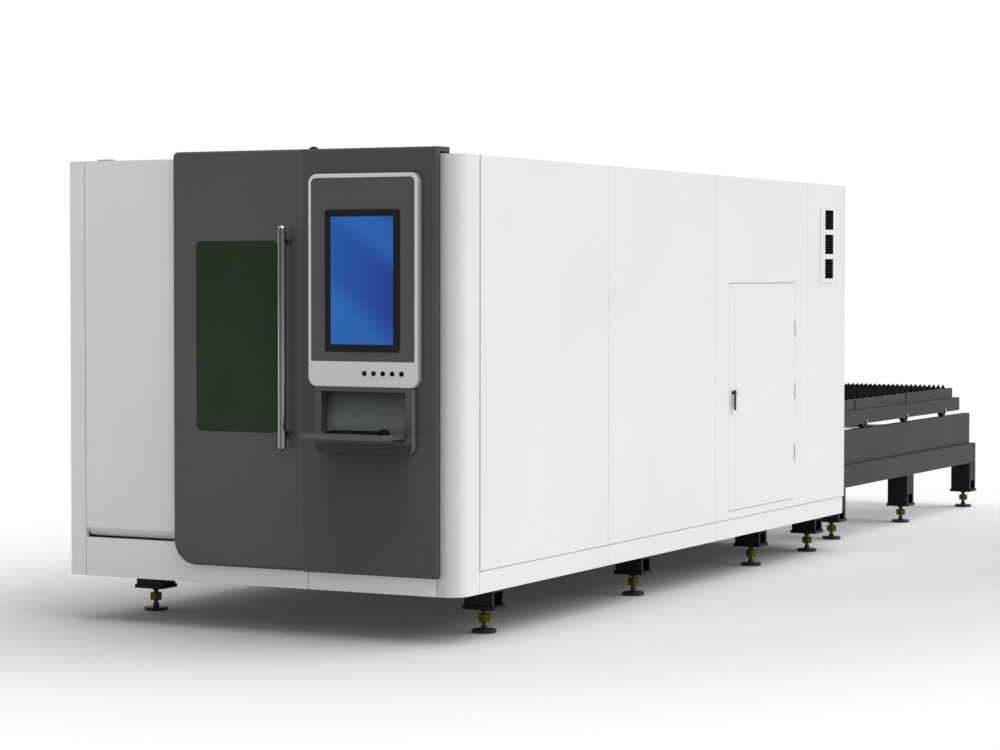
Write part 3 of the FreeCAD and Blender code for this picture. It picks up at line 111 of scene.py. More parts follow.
class Finish(Nodes):
    """A material under construction. sockets are values of its Principled shader."""

    def __init__(self, name, **sockets):
        self.material = bpy.data.materials.new(name)
        self.material.use_nodes = True
        super().__init__(self.material.node_tree)
        self.shader = self.tree.nodes["Principled BSDF"]
        self.place = self.node("ShaderNodeTexCoord").outputs["Object"]
        for socket, value in sockets.items():
            self.shader.inputs[socket.replace("_", " ")].default_value = value

    def noise(self, scale, detail=4.0, stretch=(1, 1, 1)):
        """A noise value from 0 to 1 whose grain is drawn out along an axis by stretch."""
        mapping = self.node("ShaderNodeMapping", {"Scale": stretch})
        self.link(self.place, mapping.inputs["Vector"])
        noise = self.node("ShaderNodeTexNoise",
                          {"Scale": scale, "Detail": detail, "Roughness": 0.55})
        self.link(mapping.outputs[0], noise.inputs["Vector"])
        return noise.outputs["Fac"]

    def ramp(self, value, stops):
        """Maps a value to colours or greys at the given places."""
        ramp = self.node("ShaderNodeValToRGB")
        while len(ramp.color_ramp.elements) < len(stops):
            ramp.color_ramp.elements.new(0.5)
        for element, (place, colour) in zip(ramp.color_ramp.elements, stops):
            element.position = place
            element.color = (*toned(colour), 1)
        self.link(value, ramp.inputs[0])
        return ramp.outputs[0]

    def cloudy(self, scale, low, high, **noise):
        """Colours or greys that drift between two with a noise of the given scale."""
        return self.ramp(self.noise(scale, **noise), [(0.3, low), (0.7, high)])

    def mixed(self, factor, first, second):
        mix = self.node("ShaderNodeMix", data_type="RGBA")
        self.link(factor, mix.inputs["Factor"])
        for socket, value in ((mix.inputs[6], first), (mix.inputs[7], second)):
            if isinstance(value, (float, tuple)):
                socket.default_value = (*toned(value), 1)
            else:
                self.link(value, socket)
        return mix.outputs[2]

    def colour(self, value):
        self.link(value, self.shader.inputs["Base Color"])

    def done(self, colour, gloss):
        """Ends the material with its colour and its roughness."""
        self.colour(colour)
        self.link(gloss, self.shader.inputs["Roughness"])
        return self.material

    def bump(self, value, depth, strength):
        bump = self.node("ShaderNodeBump", {"Strength": strength, "Distance": depth})
        self.link(value, bump.inputs["Height"])
        self.link(bump.outputs[0], self.shader.inputs["Normal"])

    def coated(self, tone, gloss, grain=0.00012, strength=0.35):
        """Ends a powder coat: its tone, slight clouds of gloss, and fine orange peel."""
        self.bump(self.noise(650.0, detail=2.0), grain, strength)
        return self.done(tone, self.cloudy(3.0, gloss - 0.02, gloss + 0.02, detail=1.0))

    def moulded(self, tone, gloss):
        """Ends a finer powder coat whose tone changes over the piece."""
        clouds = self.cloudy(2.0, 0.0, 0.03, detail=1.0)
        return self.coated(self.mixed(clouds, tone, 0.05), gloss, 0.0001, 0.3)


def toned(colour):
    """A colour's three parts; a single number is a grey."""
    return (colour,) * 3 if isinstance(colour, float) else colour


def shade(colour, factor):
    return tuple(min(1.0, part * factor) for part in toned(colour))


def paint(name, colour, gloss, grain=0.00012, variation=0.04, dust=0.0, **sockets):
    """Powder coat with slight clouds of tone, and dust on ledges."""
    made = Finish(name, **sockets)
    tone = made.cloudy(1.7, shade(colour, 1 - variation), shade(colour, 1 + variation), detail=1.0)
    if dust:
        lying = made.ramp(made.facing()["Z"], [(0.55, 0.0), (0.95, dust)])
        tone = made.mixed(lying, tone, (0.32, 0.31, 0.29))
    return made.coated(tone, gloss, grain)


def facing_shaded_paint(name, tones, gloss):
    """Powder coat with painted shading: its tone turns with the face, from the front to the flank.

    tones are (X of the face's normal, colour) pairs."""
    made = Finish(name)
    return made.moulded(made.ramp(made.facing()["X"], tones), gloss)


def levelled_paint(name, low, high, tones, gloss, flank=None):
    """Powder coat whose tone changes with height, as the parts above shade it.

    tones are (share of the way from low to high, colour) pairs. flank is the tone of the faces
    that look to the right, a painted highlight."""
    made = Finish(name)
    tone = made.ramp(made.share(made.axes(made.place)["Z"], low, high), tones)
    if flank:
        # Painted highlight on the faces that look to the right.
        highlight_mask = made.ramp(made.facing()["X"], [(0.25, 0.0), (0.75, 1.0)])
        tone = made.mixed(highlight_mask, tone, flank)
    return made.moulded(tone, gloss)


def shaded_paint(name, colour, gloss, above, low, high, shades):
    """Powder coat with the soft shade that a deep box above it leaves on the panel.

    above is the box's corners. shades are (share of the way from low to high, factor) pairs."""
    made = Finish(name)
    axes = made.axes(made.place)
    shaded = made.ramp(made.share(axes["Z"], low, high),
                       [(place, shade(colour, part)) for place, part in shades])
    centre, half = (above[0].x + above[1].x) / 2, (above[1].x - above[0].x) / 2
    away = made.calculate("ABSOLUTE", made.calculate("SUBTRACT", axes["X"], centre))
    under = made.share(away, half + 0.01, half - 0.11, interpolation_type="SMOOTHSTEP")
    clouds = made.cloudy(1.7, shade(colour, 0.95), shade(colour, 1.05), detail=1.0)
    return made.coated(made.mixed(under, clouds, shaded), gloss)


def metal(name, colour, gloss, stretch=(1, 1, 1), scale=60.0):
    """Bare metal: tooling lines along one axis and uneven polish."""
    made = Finish(name, Metallic=1.0)
    lines = made.noise(scale, detail=6.0, stretch=stretch)
    made.bump(lines, 0.0001, 0.3)
    return made.done(made.ramp(lines, [(0.3, shade(colour, 0.88)), (0.7, shade(colour, 1.12))]),
                     made.cloudy(12.0, gloss - 0.06, gloss + 0.1, stretch=stretch))


def plastic(name, colour, gloss, **sockets):
    """Moulded plastic with a fine even texture."""
    made = Finish(name, **sockets)
    made.bump(made.noise(900.0, detail=1.0), 0.00008, 0.4)
    return made.done(made.cloudy(25.0, shade(colour, 0.93), shade(colour, 1.08)),
                     made.cloudy(14.0, gloss - 0.04, gloss + 0.06))


def polished(name):
    """Polished bar with painted reflections: bright to the left, a painted highlight on top, dark
    to the front.
    """
    made = Finish(name, Metallic=1.0)
    facing = made.facing()
    # Painted reflection: the tone follows the face's direction.
    painted_reflection = made.ramp(made.share(facing["X"], -1.0, 1.0),
                       [(0.0, (0.66, 0.67, 0.65)), (0.34, (0.54, 0.55, 0.53)), (0.42, 0.11),
                        (0.72, 0.12), (0.88, (0.30, 0.30, 0.31)), (1.0, (0.22, 0.22, 0.23))])
    # Painted highlight on the faces that look up.
    top = made.ramp(facing["Z"], [(0.15, 0.0), (0.5, 1.0)])
    return made.done(made.mixed(top, painted_reflection, 1.0),
                     made.cloudy(30.0, 0.12, 0.2, stretch=(1, 1, 0.05)))


def chromed(name):
    """Bright plating with a painted reflection: pale where it faces to the right, dark to the
    front.
    """
    made = Finish(name, Metallic=1.0)
    tone = made.ramp(made.facing()["X"], [(0.0, (0.04, 0.04, 0.05)), (0.55, (0.10, 0.10, 0.13)),
                                          (0.85, (0.60, 0.63, 0.78)), (1.0, (0.66, 0.69, 0.82))])
    return made.done(tone, made.cloudy(60.0, 0.2, 0.3))


def cut_steel(name, half, tips):
    """Slats: flame-cut sheet with rust freckles, black at the tips, and black towards the ends as
    painted shade.

    half is the slats' half length and tips the height of the teeth's tips."""
    made = Finish(name, Metallic=0.5, Specular_IOR_Level=0.3)
    base = made.cloudy(30.0, 0.040, 0.070, stretch=(1, 1, 4))
    freckles = made.ramp(made.noise(120.0), [(0.58, 0.0), (0.7, 0.8)])
    sheet = made.mixed(freckles, base, (0.060, 0.048, 0.040))
    axes = made.axes(made.place)
    # Painted shade: black towards both ends of the slats.
    end = made.share(made.calculate("ABSOLUTE", axes["X"]), half - 0.045, half - 0.035)
    tip = made.share(axes["Z"], tips - 0.024, tips - 0.012)
    made.bump(made.noise(200.0), 0.0002, 0.3)
    return made.done(made.mixed(made.calculate("MAXIMUM", end, tip), sheet, 0.002),
                     made.cloudy(40.0, 0.45, 0.65))


def window_glass(name):
    """Laser safety glass: deep green and nearly opaque."""
    made = Finish(name, Transmission_Weight=0.15, IOR=1.49, Specular_IOR_Level=0.14)
    return made.done(made.cloudy(2.0, (0.012, 0.028, 0.008), (0.016, 0.036, 0.010)),
                     made.cloudy(5.0, 0.10, 0.16))


def display(name, node):
    """A lit screen: a blue field, lighter to the left, with broad soft arcs."""
    low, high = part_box(node)
    made = Finish(name, Roughness=0.3, Specular_IOR_Level=0.15, Emission_Strength=0.34)
    field = made.node("ShaderNodeMapping",
                      {"Location": low, "Scale": (high.x - low.x, 1, high.z - low.z)},
                      vector_type="TEXTURE")
    made.link(made.place, field.inputs["Vector"])
    across = made.ramp(made.axes(field.outputs[0])["X"],
                       [(0.0, (0.014, 0.092, 0.35)), (0.5, (0.014, 0.066, 0.31)),
                        (1.0, (0.015, 0.042, 0.27))])
    drift = made.node("ShaderNodeMapping", {"Location": (0.3, 0, 0.35), "Scale": (0.8, 1, 1.5)})
    made.link(field.outputs[0], drift.inputs["Vector"])
    waves = made.node("ShaderNodeTexWave", {"Scale": 0.35, "Distortion": 3.5, "Detail": 0.0},
                      bands_direction="DIAGONAL")
    made.link(drift.outputs[0], waves.inputs["Vector"])
    glow = made.ramp(waves.outputs["Fac"], [(0.35, 0.0), (0.9, 0.55)])
    picture = made.mixed(glow, across, (0.022, 0.15, 0.48))
    made.colour(picture)
    made.link(picture, made.shader.inputs["Emission Color"])
    return made.material


CHARCOAL = 0.066
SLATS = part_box("slats")
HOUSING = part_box("keyboard_housing")
RECESS_BOTTOM, RECESS_TOP = HOUSING[0].z + 0.067, HOUSING[0].z + 0.288

# The finish of each of the record's material slots.
FINISHES = {
    "white_panel": paint("white_powder_coat", 0.80, 0.42, variation=0.012),
    "dark_panel": paint("charcoal_powder_coat", CHARCOAL, 0.44, variation=0.05),
    "frame_paint": paint("frame_grey_paint", 0.10, 0.5, dust=0.2),
    "bed_paint": paint("bed_grey_paint", 0.09, 0.5, grain=0.00005, variation=0.015, dust=0.1),
    "leg_black": paint("leg_black_coat", 0.004, 0.5, Specular_IOR_Level=0.25),
    "foot_steel": paint("black_oxide", 0.016, 0.38, Metallic=0.3),
    "nut_olive": metal("yellow_zinc", (0.095, 0.096, 0.006), 0.45),
    "steel": metal("machined_steel", (0.50, 0.51, 0.52), 0.3, stretch=(1, 0.05, 1)),
    "galvanised": metal("plain_sheet", (0.40, 0.41, 0.42), 0.42, scale=14.0),
    "control_shell": paint("light_grey_coat", 0.64, 0.3, variation=0.012),
    "control_dark": paint("inset_charcoal", CHARCOAL, 0.4),
    "bezel_black": plastic("bezel_gloss_black", 0.005, 0.35, Specular_IOR_Level=0.2),
    "screen_glass": display("blue_display", "screen"),
    "window_glass": window_glass("green_safety_glass"),
    "button_face": plastic("button_black", 0.002, 0.6, Specular_IOR_Level=0.08),
    "handle_steel": polished("polished_steel_painted_reflections"),
    "key_plastic": plastic("matt_black_plastic", 0.006, 0.55, Specular_IOR_Level=0.25),
    "pallet_paint": paint("pallet_grey_paint", 0.022, 0.5, grain=0.00005,
                          variation=0.015, dust=0.05, Specular_IOR_Level=0.3),
    "slat_steel": cut_steel("cut_slat_steel", SLATS[1].x, SLATS[1].z),
    "wheel_steel": metal("turned_wheel_steel", (0.045, 0.045, 0.047), 0.42),
    "cabinet_paint": paint("cabinet_grey", (0.42, 0.43, 0.44), 0.42, dust=0.15),
}

# The soft shade under the shelf: (share of the way up, factor of the fascia's tone).
UNDER_SHELF = [(0.0, 1.0), (0.34, 0.80), (0.53, 0.72), (0.62, 0.63), (0.72, 0.52), (0.76, 0.42),
               (0.81, 0.28), (0.89, 0.26), (1.0, 1.0)]
# Painted shading: tones of the rounded corner from the front round to the flank, and painted shade
# up the back of the recess, darkest at the top.
PAINTED_CORNER_SHADING = [(0.0, 0.60), (0.08, 0.61), (0.25, 0.64), (0.6, 0.67), (0.85, 0.75), (1.0, 0.80)]
RECESS = [(0.37, (0.198, 0.218, 0.203)), (0.51, (0.130, 0.148, 0.136)),
          (0.64, (0.093, 0.106, 0.098)), (0.77, (0.064, 0.073, 0.067)),
          (0.90, (0.021, 0.024, 0.022)), (1.0, (0.007, 0.008, 0.007))]

# The finish of single pieces that differ from their slot.
OWN = {
    "front_fascia": shaded_paint("fascia_powder_coat", 0.052, 0.46, HOUSING,
                                 HOUSING[0].z - 0.75, HOUSING[0].z + 0.15, UNDER_SHELF),
    # Painted shading on the rounded corner: darker where it faces the front, white on the flank.
    "front_corner_cover": facing_shaded_paint("white_corner_painted_shading", PAINTED_CORNER_SHADING, 0.42),
    # Painted shade: the frame's faces that look to the right are darker than its front.
    "control_frame_moulded": facing_shaded_paint("light_grey_moulding_painted_shade", [(0.25, 0.71), (0.75, 0.34)], 0.3),
    # Painted shadow of the tray, near black along the bottom of the housing, and a painted
    # highlight on its faces that look to the right.
    "shelf_housing": levelled_paint("charcoal_moulding_painted_shade", HOUSING[0].z, HOUSING[1].z,
                                    [(0.0, 0.006), (0.15, 0.006), (0.21, 0.060)], 0.38,
                                    flank=0.16),
    # Painted shade on the back of the recess, darkest at the top under the housing's rim.
    "recess_liner": levelled_paint("recess_grey_painted_shade", RECESS_BOTTOM, RECESS_TOP, RECESS, 0.5),
    "recess_walls": paint("recess_dark", 0.085, 0.5, Specular_IOR_Level=0.2),
    # Painted reflection on the latch's lever and neck.
    "latch_lever": chromed("chromed_lever_painted_reflection"),
    "latch_neck": chromed("chromed_neck_painted_reflection"),
    "keyboard_tray": paint("tray_charcoal", 0.080, 0.42),
    "door_handle_mounts": metal("satin_mount", 0.06, 0.5),
    "foot_studs": metal("dark_zinc", (0.10, 0.105, 0.12), 0.4),
    "mouse": plastic("mouse_black", 0.002, 0.6, Specular_IOR_Level=0.08),
    "keyboard_caps": plastic("key_black", 0.003, 0.6, Specular_IOR_Level=0.1),
    # Painted shade of the groove between the rounded corner and the side panel.
    "corner_seam": paint("seam_painted_shade_grey", 0.25, 0.6),
    # Painted shadow in the seams of the comb rails.
    "holder_seams": paint("seam_painted_shadow_black", 0.001, 0.9, Specular_IOR_Level=0.0),
    "vent_louvres": plastic("vent_black", 0.004, 0.8, Specular_IOR_Level=0.1),
}

SLOTS = {row["node"]: row["material_slot"] for row in frame["record"]["subparts"]}


def dress(thing, slot):
    """Gives a piece its own finish, or else that of its slot."""
    thing.data.materials.clear()
    thing.data.materials.append(OWN.get(thing.name, FINISHES[slot]))


def soften(thing, width):
    """Rounds a piece's sharp edges and shades it smooth between them."""
    weld = thing.modifiers.new("weld", "WELD")
    weld.merge_threshold = 0.00002
    plain = thing.modifiers.new("plain", "DECIMATE")
    plain.decimate_type = "DISSOLVE"
    plain.angle_limit = radians(0.4)
    bevel = thing.modifiers.new("edges", "BEVEL")
    bevel.width = width
    bevel.segments = 2
    bevel.limit_method = "ANGLE"
    bevel.angle_limit = radians(35)
    bevel.use_clamp_overlap = True
    smooth_flats(thing)


def smooth_flats(thing):
    """Smooth shading that leaves the large flat faces flat."""
    for face in thing.data.polygons:
        face.use_smooth = True
    flats = thing.modifiers.new("flats", "WEIGHTED_NORMAL")
    flats.weight = 100


# The width of the rounded edges of the nodes shown as they are.
PLAIN_EDGE = 0.001
EDGES = {
    "bed_frame": 0.004, "legs": 0.002, "cabin_frame": 0.003, "pallet_rail_beams": 0.003,
    "table_lower_frame": 0.004, "pallet_frame": 0.002, "keyboard_tray": 0.004,
    "laser_source": 0.006, "electrical_cabinet": 0.004, "gantry_beam": 0.004,
    "cutting_head": 0.003,
}


# -------- shapes

def solids(name):
    """The lowest and highest corner of each separate solid in a CAD node."""
    mesh = NODES[name].data
    spots = [tuple(round(value, 5) for value in vertex.co) for vertex in mesh.vertices]
    group = {spot: spot for spot in spots}

    def top(spot):
        while group[spot] != spot:
            group[spot] = group[group[spot]]
            spot = group[spot]
        return spot

    for face in mesh.polygons:
        first = top(spots[face.vertices[0]])
        for index in face.vertices[1:]:
            group[top(spots[index])] = first
    boxes = {}
    for spot in group:
        low, high = boxes.setdefault(top(spot), (list(spot), list(spot)))
        for axis in range(3):
            low[axis] = min(low[axis], spot[axis])
            high[axis] = max(high[axis], spot[axis])
    return sorted((Vector(low), Vector(high)) for low, high in boxes.values())


def middle(low, high):
    """The point halfway between two corners."""
    return [(first + second) / 2 for first, second in zip(low, high)]


def point(along, first, second, height):
    """A point from two coordinates across an axis and one along it."""
    if along == "X":
        return Vector((height, first, second))
    if along == "Y":
        return Vector((first, height, second))
    return Vector((first, second, height))


def layer(loop, along, height):
    """The points of a flat outline at a height along an axis."""
    return [point(along, *spot, height) for spot in loop]


def circle(steps, radius=1.0, centre=(0.0, 0.0)):
    """A round outline."""
    turns = [2 * pi * i / steps for i in range(steps)]
    return [(centre[0] + radius * cos(turn), centre[1] + radius * sin(turn)) for turn in turns]


def toothed(count, profile, centre):
    """An outline of teeth round a centre. profile is (share of the pitch, radius) pairs."""
    loop = []
    for i in range(count):
        for part, radius in profile:
            turn = 2 * pi * (i + part) / count
            loop.append((centre[0] + radius * cos(turn), centre[1] + radius * sin(turn)))
    return loop


def rectangle(low, high, inset=0.0):
    """A square-cornered outline, from the low left corner on."""
    left, near, right, far = low[0] + inset, low[1] + inset, high[0] - inset, high[1] - inset
    return [(left, near), (right, near), (right, far), (left, far)]


def rounded(low, high, radii, inset=0.0, steps=6):
    """A rectangle's outline with an arc at each corner, from the low left one on."""
    if isinstance(radii, float):
        radii = (radii,) * 4
    loop = []
    ways = ((1, 1, 180), (-1, 1, 270), (-1, -1, 0), (1, -1, 90))
    for (x, z), (dx, dz, start), radius in zip(rectangle(low, high, inset), ways, radii):
        radius = max(radius - inset, 0.0004)
        for i in range(steps + 1):
            turn = radians(start + 90 * i / steps)
            loop.append((x + radius * (dx + cos(turn)), z + radius * (dz + sin(turn))))
    return loop


class Form:
    """A mesh under construction that becomes one piece of the scene."""

    def __init__(self):
        self.mesh = bmesh.new()

    def skin(self, rows):
        """Faces between neighbouring rows of points; a row of one point is a pole."""
        made = [[self.mesh.verts.new(spot) for spot in row] for row in rows]
        for low, high in zip(made, made[1:]):
            count = max(len(low), len(high))
            for i in range(count):
                j = (i + 1) % count
                corners = [low[i % len(low)], low[j % len(low)],
                           high[j % len(high)], high[i % len(high)]]
                corners = list(dict.fromkeys(corners))
                if len(corners) > 2:
                    self.mesh.faces.new(corners)
        return made

    def fill(self, rims):
        """Closes the flat area between rows of points that skin has made."""
        edges = [self.mesh.edges.get(pair) for row in rims for pair in zip(row, row[-1:] + row)]
        bmesh.ops.triangle_fill(self.mesh, use_beauty=True, edges=edges)

    def merge(self):
        """Joins points that coincide."""
        bmesh.ops.remove_doubles(self.mesh, verts=self.mesh.verts, dist=1e-7)

    def lathe(self, profile, centre, along="Z", steps=40, side=1):
        """Turns (radius, height) pairs about an axis; side -1 turns the heights over.

        A profile that starts or ends away from the axis is closed there by a flat disc."""
        ends = [[(0, height)] if radius else [] for radius, height in (profile[0], profile[-1])]
        rows = []
        for radius, height in ends[0] + profile + ends[1]:
            loop = circle(steps, radius) if radius else [(0.0, 0.0)]
            rows.append([Vector(centre) + spot for spot in layer(loop, along, side * height)])
        self.skin(rows)

    def slab(self, loop, along, low, high):
        """A flat outline pushed along an axis, closed at both ends."""
        for row in self.skin([layer(loop, along, end) for end in (low, high)]):
            self.mesh.faces.new(row)

    def block(self, low, high):
        self.slab(rectangle(low, high), "Z", low[2], high[2])

    def ring(self, centre, along, radius, thick):
        """A round bar bent to a circle."""
        turns = circle(48)
        self.skin([[Vector(centre) + point(along, out * across, out * up, height)
                    for out, height in circle(16, thick, (radius, 0.0))]
                   for across, up in turns + turns[:1]])
        self.merge()

    def piece(self, name, slot, body, *nodes, edge=0.0, angle=32, flats=False):
        """Makes the object: its finish, its body, the nodes it stands for and its edges.

        edge is the width of rounded edges. Without it, edges sharper than angle stay sharp, and
        flats keeps large faces flat."""
        bmesh.ops.recalc_face_normals(self.mesh, faces=self.mesh.faces)
        data = bpy.data.meshes.new(name)
        self.mesh.to_mesh(data)
        self.mesh.free()
        thing = bpy.data.objects.new(name, data)
        SCENE.collection.objects.link(thing)
        dress(thing, slot)
        if edge:
            soften(thing, edge)
        elif flats:
            smooth_flats(thing)
            data.set_sharp_from_angle(angle=radians(60))
            thing.modifiers["flats"].keep_sharp = True
        else:
            for face in data.polygons:
                face.use_smooth = True
            data.set_sharp_from_angle(angle=radians(angle))
        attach(thing, body)
        if nodes:
            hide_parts(*nodes)


def moulding(form, rim, opening, holes, face, back, floor, bend):
    """A plate that faces the front, with a rounded rim, a rounded opening and round holes.

    rim and opening are (low, high, radii); holes are (x, z, radius, depth). face, back and floor
    are the Y of the front and of the inner ends of rim and opening. bend rounds the rim."""
    turns = [radians(18 * k) for k in range(6)]
    fronts = []
    for outline, end, radius in ((rim, back, bend), (opening, floor, -0.5 * bend)):
        rows = [layer(rounded(*outline, steps=10), "Y", end)]
        rows += [layer(rounded(*outline, inset=radius * (1 - cos(turn)), steps=10), "Y",
                       face + abs(radius) * (1 - sin(turn))) for turn in turns]
        fronts.append(form.skin(rows)[-1])
    for x, z, radius, depth in holes:
        edge = circle(32, radius, (x, z))
        fronts.append(form.skin([[Vector((x, face + depth, z))], layer(edge, "Y", face + depth),
                                 layer(edge, "Y", face)])[-1])
    form.fill(fronts)


# -------- feet and nuts

PLATE_UNDER = 0.114     # underside of the legs' base plates
STUD = 0.012            # radius over the thread
PITCH = 0.004           # of the thread
RIDGE = 0.0011          # height of the thread


def feet():
    """Levelling feet: turned pads, collars under the base plates and threaded studs."""
    pads, studs = Form(), Form()
    for low, high in solids("leveling_feet"):
        x, y, _ = middle(low, high)
        pads.lathe([(0.055, 0), (0.059, 0.003), (0.059, 0.0145), (0.0565, 0.017),
                    (0.0185, 0.017), (0.0165, 0.019), (0.0155, 0.033), (0.0135, 0.0355)],
                   (x, y, low.z), steps=64)
        pads.lathe([(0.026, 0), (0.024, 0.003), (0.0145, 0.0135)], (x, y, PLATE_UNDER), side=-1)
        thread(studs, x, y, low.z + 0.034, high.z)
    pads.piece("foot_pads", "foot_steel", "machine", "leveling_feet")
    studs.piece("foot_studs", "steel", "machine", "leveling_feet", angle=70)


def thread(form, x, y, low, high):
    """A rod whose ridge climbs one pitch a turn, with flat ends."""
    sides = 18
    rows = [[Vector((x, y, low))]]
    count = int((high - low) / PITCH * 4)
    for i in range(count + 1):
        z = low + (high - low) * i / count
        row = []
        for j, (across, along) in enumerate(circle(sides)):
            phase = ((z - low) / PITCH - j / sides) % 1.0
            radius = STUD - RIDGE * abs(2 * phase - 1)
            row.append(Vector((x + radius * across, y + radius * along, z)))
        rows.append(row)
    rows.append([Vector((x, y, high))])
    form.skin(rows)


def hexagon(form, x, y, low, high, flat, bore, chamfer, steps=60):
    """A nut: six flats, with the corners turned off at both ends."""
    corner, turned = flat / cos(pi / 6), flat * 0.985
    bottom, top = [layer(circle(steps, bore, (x, y)), "Z", z) for z in (low, high)]
    rows = [bottom]
    for z in (low, low + chamfer / 2, low + chamfer, (low + high) / 2, high - chamfer,
              high - chamfer / 2, high):
        inset = min(1.0, min(z - low, high - z) / chamfer)
        limit = turned + (corner - turned) * sin(inset * pi / 2)
        row = []
        for i in range(steps):
            turn = 2 * pi * i / steps
            reach = min(limit, flat / cos(turn % (pi / 3) - pi / 6))
            row.append(Vector((x + reach * cos(turn), y + reach * sin(turn), z)))
        rows.append(row)
    form.skin(rows + [top, bottom])
    form.merge()


def nuts():
    """The lock nuts of the levelling feet."""
    form = Form()
    for low, high in solids("lock_nuts"):
        x, y, _ = middle(low, high)
        hexagon(form, x, y, low.z, high.z, (high.y - low.y) / 2, STUD + 0.0002, 0.005)
    form.piece("lock_nuts_turned", "nut_olive", "machine", "lock_nuts", angle=28)


# -------- door and latch

def door_handle():
    """A tubular bar with domed ends on two turned mounts."""
    low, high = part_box("door_handle")
    radius = (high.x - low.x) / 2
    x, y = (low.x + high.x) / 2, low.y + radius
    outer, dome, inset = radius + 0.0015, 0.009, 0.068
    bar = []
    for turn in range(0, 91, 9):
        angle = radians(turn)
        bar.append((outer * sin(angle), low.z + dome - 2 * dome * cos(angle)))
    bar += [(part, low.z + high.z - z) for part, z in reversed(bar)]
    grip, mounts = Form(), Form()
    grip.lathe(bar, (x, y, 0), steps=56)
    grip.piece("door_handle_bar", "handle_steel", "front_door", "door_handle", angle=60)
    start = y + radius * 0.9
    for z in (low.z + inset, high.z - inset):
        mounts.lathe([(0.011, start), (0.011, high.y - 0.012), (0.0135, high.y - 0.010),
                      (0.017, high.y - 0.006), (0.017, high.y)], (x, 0, z), "Y")
    mounts.piece("door_handle_mounts", "key_plastic", "front_door", "door_handle")


def door_seal():
    """A rubber strip on the fascia's edge, which closes the seam to a hairline."""
    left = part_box("sliding_door")[1].x
    low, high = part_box("front_fascia")
    form = Form()
    form.block((left + 0.0006, low.y + 0.0004, low.z), (low.x, low.y + 0.014, high.z - 0.0006))
    form.piece("door_seal", "dark_panel", "machine")


def corner_seam():
    """A grey strip between the rounded corner and the first side panel, painted shade that stands
    in for the shading in the seam's groove.
    """
    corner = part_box("front_corner_cover")[1]
    panel, top = min(solids("side_panels"), key=lambda pair: pair[0].y)
    y, half = (corner.y + panel.y) / 2, 0.0045
    form = Form()
    form.block((top.x - 0.003, y - half, panel.z + 0.001),
               (top.x + 0.0003, y + half, top.z - 0.001))
    form.piece("corner_seam", "galvanised", "machine")


def window_gasket():
    """A strip that fills the pane's corners flush with the door."""
    low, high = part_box("door_window")
    gap, face = 0.0005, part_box("front_fascia")[0].y + 0.0002
    corners = ((low.x - gap, low.z - gap), (high.x + gap, high.z + gap))
    form = Form()
    rims = []
    for radius, inset in ((0.016, 0.0), (0.026, 0.0012)):
        loop = rounded(*corners, radius, inset=inset, steps=8)
        rims.append(form.skin([layer(loop, "Y", y) for y in (low.y, face)])[-1])
    form.fill(rims)
    form.piece("window_gasket", "dark_panel", "front_door", angle=20)


def latch():
    """The service door's lever: boss, shaft, tongue, and an arm with a key cylinder."""
    low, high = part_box("latch_handle")
    boss, half, tail = 0.015, 0.0135, 0.010
    y, z, wall = high.y - boss, high.z - boss, high.x - 0.028
    arm = []
    for start, base, rise in ((0, high.z - half, half), (180, low.z + tail, tail)):
        for turn in range(start, start + 181, 12):
            angle = radians(turn)
            arm.append((y + half * cos(angle), base + rise * sin(angle)))
    lever, neck, inner = Form(), Form(), Form()
    lever.slab(arm, "X", wall + 0.0135, high.x - 0.0004)
    lever.piece("latch_lever", "handle_steel", "latch", "latch_handle", edge=0.0025)
    neck.lathe([(0.0125, wall + 0.0004), (0.0125, wall + 0.0020), (0.0105, wall + 0.0036),
                (0.0105, wall + 0.0145)], (0, y, z), "X")
    neck.piece("latch_neck", "handle_steel", "latch", "latch_handle", angle=40)
    inner.lathe([(0.006, low.x), (0.006, wall + 0.004)], (0, y, z), "X", steps=32)
    inner.lathe([(0.006, high.x - 0.003), (0.006, high.x - 0.0002), (0.005, high.x)],
                (0, y, z - 0.004), "X", steps=32)
    inner.block((low.x, low.y, z - 0.012), (low.x + 0.006, y + 0.012, z + 0.012))
    inner.piece("latch_inner", "key_plastic", "latch", "latch_handle", angle=40)


def eyes():
    """Lifting eyes: a flange with four screws, a turned neck and a ring."""
    flange, spread = 0.010, 0.029
    form = Form()
    for low, high in solids("lifting_eyes"):
        x, y, _ = middle(low, high)
        half = (high.x - low.x) / 2
        form.slab(rounded((x - half, y - half), (x + half, y + half), 0.008),
                  "Z", low.z, low.z + flange)
        form.lathe([(0.026, 0.010), (0.025, 0.016), (0.018, 0.021), (0.013, 0.030),
                    (0.012, 0.046)], (x, y, low.z))
        form.ring((x, y, high.z - 0.037), "Y", 0.028, 0.009)
        for dx in (-spread, spread):
            for dy in (-spread, spread):
                hexagon(form, x + dx, y + dy, low.z + flange, low.z + 0.016, 0.0065, 0.0001,
                        0.001, steps=24)
    form.piece("lifting_eye_bolts", "leg_black", "machine", "lifting_eyes", angle=40)


# -------- panel and shelf

BUTTONS = ["button_%d" % i for i in range(1, 6)]


def control_frame():
    """The pale surround of the monitor, with a hole for each button."""
    low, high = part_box("control_panel_frame")
    holes = []
    for near, far in map(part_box, BUTTONS):
        x, _, z = middle(near, far)
        holes.append((x, z, (far.x - near.x) / 2 + 0.0003, 0.0165))
    form = Form()
    moulding(form, ((low.x, low.z), (high.x, high.z), 0.044),
             ((low.x + 0.016, low.z + 0.117), (high.x - 0.021, high.z - 0.019),
              (0.0005, 0.0005, 0.024, 0.024)), holes, low.y, high.y, low.y + 0.012, 0.005)
    form.piece("control_frame_moulded", "control_shell", "machine", "control_panel_frame",
               flats=True)


